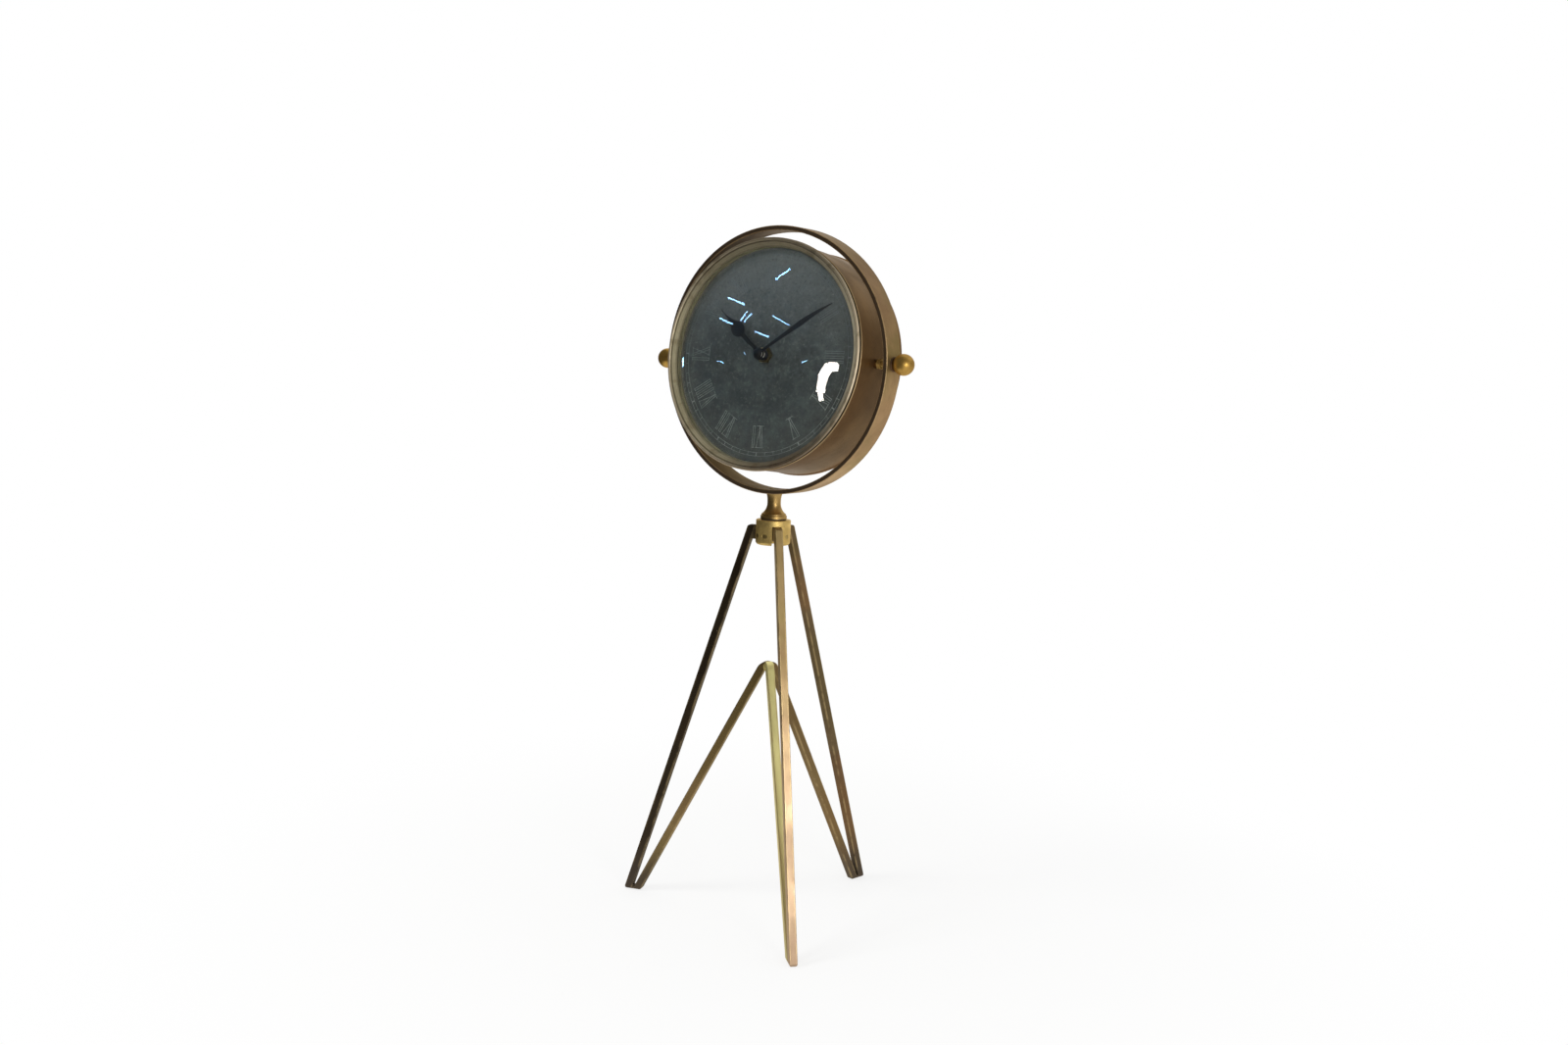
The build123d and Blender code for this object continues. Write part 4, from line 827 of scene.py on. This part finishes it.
class CLOCK_OT_dial(bpy.types.Operator):
    """Dress the dial, and print its numerals and minute track"""
    bl_idname = "clock.dial"
    bl_label = "Dial"

    def slate(self, dial):
        """The dial's slate: clouds, mottles and grit, paler at the top and toward the rim."""
        finish = Finish("dial_slate")
        place = finish.drum_place()
        right, _, up = finish.parts(place)
        clouds = finish.ease(finish.noise(place, 30, 4, 0.6, 0.5), 0.35, 0.7)
        mottles = finish.ease(finish.noise(place, 110, 4, 0.65, 0.3), 0.42, 0.68)
        grit = finish.noise(place, 420, 4, 0.65)
        dust = finish.ease(finish.noise(place, 300, 1, 0.5), 0.77, 0.8)
        high = finish.ease(up, -0.01, 0.07)
        rim = finish.ease(reach(right, up), 0.05, 0.083)
        shade = finish.lay(
            dial.face,
            (clouds * 0.6 + mottles * 0.4, dial.face_pale),
            (high * 0.6, dial.face_high),
            (rim * 0.3, dial.face_rim),
            (finish.ease(grit, 0.54, 0.7) * 0.3, dial.grit),
            (finish.ease(1 - grit, 0.54, 0.7) * 0.35, dial.grit_dark),
            (dust * 0.25, dial.dust))
        return finish.surface({
            "Base Color": shade, "Roughness": 0.62 + (grit - 0.5) * 0.2, "Specular IOR Level": 0.08,
            "Normal": finish.bump(grit, 0.15, 0.0003)})

    def print_ink(self, dial):
        """The print on the dial, worn and fainter toward the top."""
        finish = Finish("dial_print")
        place = finish.drum_place()
        worn = finish.ease(finish.noise(place, 160, 4, 0.6), 0.38, 0.62)
        high = finish.ease(finish.parts(place)[2], -0.04, 0.02)
        shade = finish.mix(0.3 + worn * 0.7, dial.face_pale, finish.mix(high, dial.mark, dial.mark_high))
        return finish.surface({"Base Color": shade, "Roughness": 0.6})

    def stroke(self, shape, start, end, width, depths, place):
        """One straight line of a numeral."""
        run = (Vector(end) - Vector(start)).normalized()
        side = Vector((-run.y, run.x)) * (width / 2)
        corners = [Vector(start) + side, Vector(start) - side, Vector(end) - side, Vector(end) + side]
        lift(shape, [place(corner) for corner in corners], *depths)

    def numeral(self, shape, text, hour, dial, depths):
        """One Roman numeral in outlined strokes, its foot toward the centre."""
        height = dial.numeral_height
        half = height / 2
        gap = LETTER_GAP * height
        widths = [LETTER_WIDTHS[letter] * height for letter in text]
        total = sum(widths) + gap * (len(text) - 1)
        upright = Matrix.Rotation(-HOUR_TURN * hour, 2)
        middle = upright @ Vector((0, dial.numeral_radius))

        def place(corner):
            return upright @ corner + middle

        def outlined(start, end):
            for offset in (-dial.stroke / 2, dial.stroke / 2):
                self.stroke(shape, (start + offset, half), (end + offset, -half), dial.hairline, depths, place)

        left = -total / 2
        for letter, width in zip(text, widths):
            centre = left + width / 2
            arm = width / 2 - dial.stroke / 2
            if letter == "I":
                outlined(centre, centre)
            elif letter == "V":
                outlined(centre - arm, centre)
                self.stroke(shape, (centre + arm, half), (centre, -half), dial.hairline, depths, place)
            else:
                outlined(centre - arm, centre + arm)
                self.stroke(shape, (centre + arm, half), (centre - arm, -half), dial.hairline, depths, place)
            for edge in (-half, half):
                self.stroke(shape, (left, edge), (left + width, edge), dial.hairline, depths, place)
            left += width + gap

    def execute(self, context):
        dial = context.scene.clock_dial
        wear(self.slate(dial), "dial")
        ink = self.print_ink(dial)
        rear = dial.face_height + PRINT_GAP
        front = rear + dial.ink
        shape = bmesh.new()
        for hour, text in enumerate(NUMERALS):
            self.numeral(shape, text, hour, dial, (rear, front))
        piece("dial_numerals", to_mesh(shape, "dial_numerals", DRUM), ink, "case")
        shape = bmesh.new()
        inner = dial.track_radius
        outer = inner + dial.track_width
        for radius in (inner, outer):
            round_band(shape, radius - dial.line / 2, radius + dial.line / 2, rear, front, TRACK_SIDES)
        for tick in range(dial.ticks):
            angle = 2 * math.pi * tick / dial.ticks
            right, up = math.sin(angle), math.cos(angle)
            width = HOUR_TICK if tick % (dial.ticks // 12) == 0 else MINUTE_TICK
            edge = Vector((up, -right)) * (dial.line * width / 2)
            start, end = Vector((right, up)) * inner, Vector((right, up)) * outer
            lift(shape, [start + edge, start - edge, end - edge, end + edge], rear, front)
        piece("minute_track", to_mesh(shape, "minute_track", DRUM), ink, "case")
        return {"FINISHED"}


class CLOCK_OT_hands(bpy.types.Operator):
    """Dress the hands, their cap and the collar nut"""
    bl_idname = "clock.hands"
    bl_label = "Hands"

    def execute(self, context):
        brass = context.scene.clock_brass
        small = context.scene.clock_small
        wear(painted("hand_black", small.hand, 0.6, 900), "hour_hand", "minute_hand", "hand_cap")
        wear(plain_brass("collar_brass", brass.collar, brass.hoop_edge_shade_and_tarnish, 0.3, 0.85, 0.1, cloud_scale=200),
             "collar_nut", "minute_arbor")
        return {"FINISHED"}


class CLOCK_OT_movement(bpy.types.Operator):
    """Dress the movement, its wheels, the setting knob and the cell"""
    bl_idname = "clock.movement"
    bl_label = "Movement"

    def execute(self, context):
        small = context.scene.clock_small
        wear(painted("movement_black", small.housing, 0.55, 1600), "movement_front_housing", "movement_rear_housing")
        wear(painted("gear_plastic", small.gear, 0.4, 1200), "hour_wheel", "minute_wheel", "setting_pinion",
             "setting_knob")
        wear(painted("rubber_black", small.rubber, 0.8, 800), "rubber_washer")
        wear(painted("cell_sleeve", small.cell, 0.3, 300, 0.7), "battery")
        wear(plain_steel("contact_steel", small.steel, 0.3), "battery_contacts")
        return {"FINISHED"}


class CLOCK_OT_stage(bpy.types.Operator):
    """Set up the floor, lamps, world and camera"""
    bl_idname = "clock.stage"
    bl_label = "Stage"

    def floor(self, stage):
        """A pale floor that keeps the clock's shadow and turns white away from it."""
        finish = Finish("floor_paper")
        right, back, _ = finish.parts(finish.place())
        paper = finish.node("ShaderNodeBsdfDiffuse", None, {"Color": (*stage.floor, 1)})
        glow = finish.node("ShaderNodeEmission", None, {"Color": (1, 1, 1, 1), "Strength": 1.0})
        white = 0.78 + finish.ease(reach(right, back), 0.1, 0.6) * 0.22
        shader = finish.node("ShaderNodeMixShader", None, {0: finish.lit_or_seen() * white, 1: paper, 2: glow})
        shape = bmesh.new()
        bmesh.ops.create_circle(shape, cap_ends=True, radius=FLOOR_RADIUS, segments=96)
        mesh = bpy.data.meshes.new("floor")
        shape.to_mesh(mesh)
        shape.free()
        mesh.materials.append(finish.end(shader))
        floor = bpy.data.objects.new("floor", mesh)
        floor.location.z = -FLOOR_DROP
        bpy.context.scene.collection.objects.link(floor)

    def card(self, name, azimuths, rings, dark, pale):
        """A curved card round the clock, seen only in the metal and the glass, its shade changing toward its top."""
        finish = Finish(name)
        up = finish.parts(finish.place())[2]
        shade = finish.mix(finish.ease(up, rings[0][1], rings[-1][1]), dark, pale)
        glow = finish.node("ShaderNodeEmission", None, {"Color": shade, "Strength": 1.0})
        first, last = [math.radians(azimuth) for azimuth in azimuths]
        angles = [first + (last - first) * step / CARD_STEPS for step in range(CARD_STEPS + 1)]
        corners = [(radius * math.sin(angle), -radius * math.cos(angle), height)
                   for radius, height in rings for angle in angles]
        across = len(angles)
        faces = [(corner, corner + 1, corner + across + 1, corner + across)
                 for row in range(len(rings) - 1) for corner in range(row * across, (row + 1) * across - 1)]
        mesh = bpy.data.meshes.new(name)
        mesh.from_pydata(corners, [], faces)
        mesh.materials.append(finish.end(glow))
        made = bpy.data.objects.new(name, mesh)
        for ray in ("camera", "diffuse", "shadow", "volume_scatter"):
            setattr(made, f"visible_{ray}", False)
        bpy.context.scene.collection.objects.link(made)

    def strip(self, name, start, end, width, shade, strength, gleaming):
        """A strip light that faces the clock and is seen only as a gleam in the pieces given."""
        start, end = Vector(start), Vector(end)
        middle = (start + end) / 2
        along = (end - start).normalized()
        facing = (middle - Vector((0, 0, PIVOT_HEIGHT))).normalized()
        across = facing.cross(along).normalized()
        data = bpy.data.lights.new(name, "AREA")
        data.shape = "RECTANGLE"
        data.size = (end - start).length
        data.size_y = width
        data.color = shade
        data.energy = strength * math.pi * data.size * data.size_y
        made = bpy.data.objects.new(name, data)
        turned = Matrix((along, across, along.cross(across))).transposed().to_4x4()
        made.matrix_world = Matrix.Translation(middle) @ turned
        made.visible_diffuse = made.visible_transmission = False
        made.light_linking.receiver_collection = gleaming
        bpy.context.scene.collection.objects.link(made)

    def lamp(self, name, place, target, size, power):
        """A round soft lamp that shines at a target."""
        data = bpy.data.lights.new(name, "AREA")
        data.shape = "DISK"
        data.size = size
        data.energy = power
        made = bpy.data.objects.new(name, data)
        made.location = place
        made.rotation_euler = (Vector(target) - Vector(place)).to_track_quat("-Z", "Y").to_euler()
        bpy.context.scene.collection.objects.link(made)
        return made

    def world(self, stage):
        """Plain light on the object, and white where the eye looks past it."""
        world = bpy.data.worlds.new("studio")
        finish = Finish("studio", world)
        light = finish.node("ShaderNodeBackground", None, {"Color": (1, 1, 1, 1), "Strength": stage.fill})
        white = finish.node("ShaderNodeBackground", None, {"Color": (1, 1, 1, 1), "Strength": 1.0})
        finish.end(finish.node("ShaderNodeMixShader", None, {0: finish.lit_or_seen(), 1: light, 2: white}),
                   "ShaderNodeOutputWorld")
        bpy.context.scene.world = world

    def camera(self, stage):
        """The camera at the photograph's angle."""
        forward = Vector((-math.sin(stage.pan) * math.cos(stage.tilt), math.cos(stage.pan) * math.cos(stage.tilt),
                          -math.sin(stage.tilt)))
        level = Vector((math.cos(stage.pan), math.sin(stage.pan), 0))
        upright = level.cross(forward)
        right = math.cos(stage.roll) * level + math.sin(stage.roll) * upright
        up = -math.sin(stage.roll) * level + math.cos(stage.roll) * upright
        data = bpy.data.cameras.new("camera")
        data.sensor_fit = "HORIZONTAL"
        data.sensor_width = 36
        data.lens = stage.lens
        data.clip_start = 0.01
        data.clip_end = 100
        made = bpy.data.objects.new("camera", data)
        turned = Matrix((right, up, -forward)).transposed().to_4x4()
        place = Vector((math.sin(stage.azimuth) * stage.distance, -math.cos(stage.azimuth) * stage.distance,
                        stage.height))
        made.matrix_world = Matrix.Translation(place) @ turned
        bpy.context.scene.collection.objects.link(made)
        bpy.context.scene.camera = made

    def execute(self, context):
        stage = context.scene.clock_stage
        self.floor(stage)
        for name, card in CARDS.items():
            self.card(name, *card)
        gleaming = bpy.data.collections.new("gleaming")
        gleaming.objects.link(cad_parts["glass"])
        for name, lights, shade, strength in (("strip_light", STRIPS, stage.strip, stage.strip_light),
                                              ("lit_panel", PANEL, stage.panel, stage.panel_light)):
            for number, (start, end, width) in enumerate(lights):
                self.strip(f"{name}_{number}", start, end, width, shade, strength, gleaming)
        key = self.lamp("key_lamp", *KEY_LAMP, stage.key)
        key.visible_glossy = key.visible_transmission = False
        self.lamp("side_lamp", *SIDE_LAMP, stage.side)
        self.world(stage)
        self.camera(stage)
        context.scene.view_settings.view_transform = "Standard"
        return {"FINISHED"}


class CLOCK_PT_panel(bpy.types.Panel):
    """Lists the clock's sizes, colours and steps"""
    bl_idname = "CLOCK_PT_panel"
    bl_label = "Drum clock"
    bl_space_type = "VIEW_3D"
    bl_region_type = "UI"
    bl_category = "Clock"

    def draw(self, context):
        for group in GROUPS:
            box = self.layout.box()
            for name in GROUPS[group].__annotations__:
                box.prop(getattr(context.scene, group), name)
        for step in STEPS:
            self.layout.operator(step.bl_idname)


STEPS = (CLOCK_OT_stage, CLOCK_OT_hoop, CLOCK_OT_neck, CLOCK_OT_hub, CLOCK_OT_legs, CLOCK_OT_pivots, CLOCK_OT_case,
         CLOCK_OT_glass, CLOCK_OT_dial, CLOCK_OT_hands, CLOCK_OT_movement)


def register():
    for made in (*GROUPS.values(), *STEPS, CLOCK_PT_panel):
        bpy.utils.register_class(made)
    for name, group in GROUPS.items():
        setattr(bpy.types.Scene, name, PointerProperty(type=group))


def unregister():
    for name in GROUPS:
        delattr(bpy.types.Scene, name)
    for made in reversed((*GROUPS.values(), *STEPS, CLOCK_PT_panel)):
        bpy.utils.unregister_class(made)


def main():
    register()
    for step in STEPS:
        group, name = step.bl_idname.split(".")
        getattr(getattr(bpy.ops, group), name)()


if __name__ == "__main__":
    main()
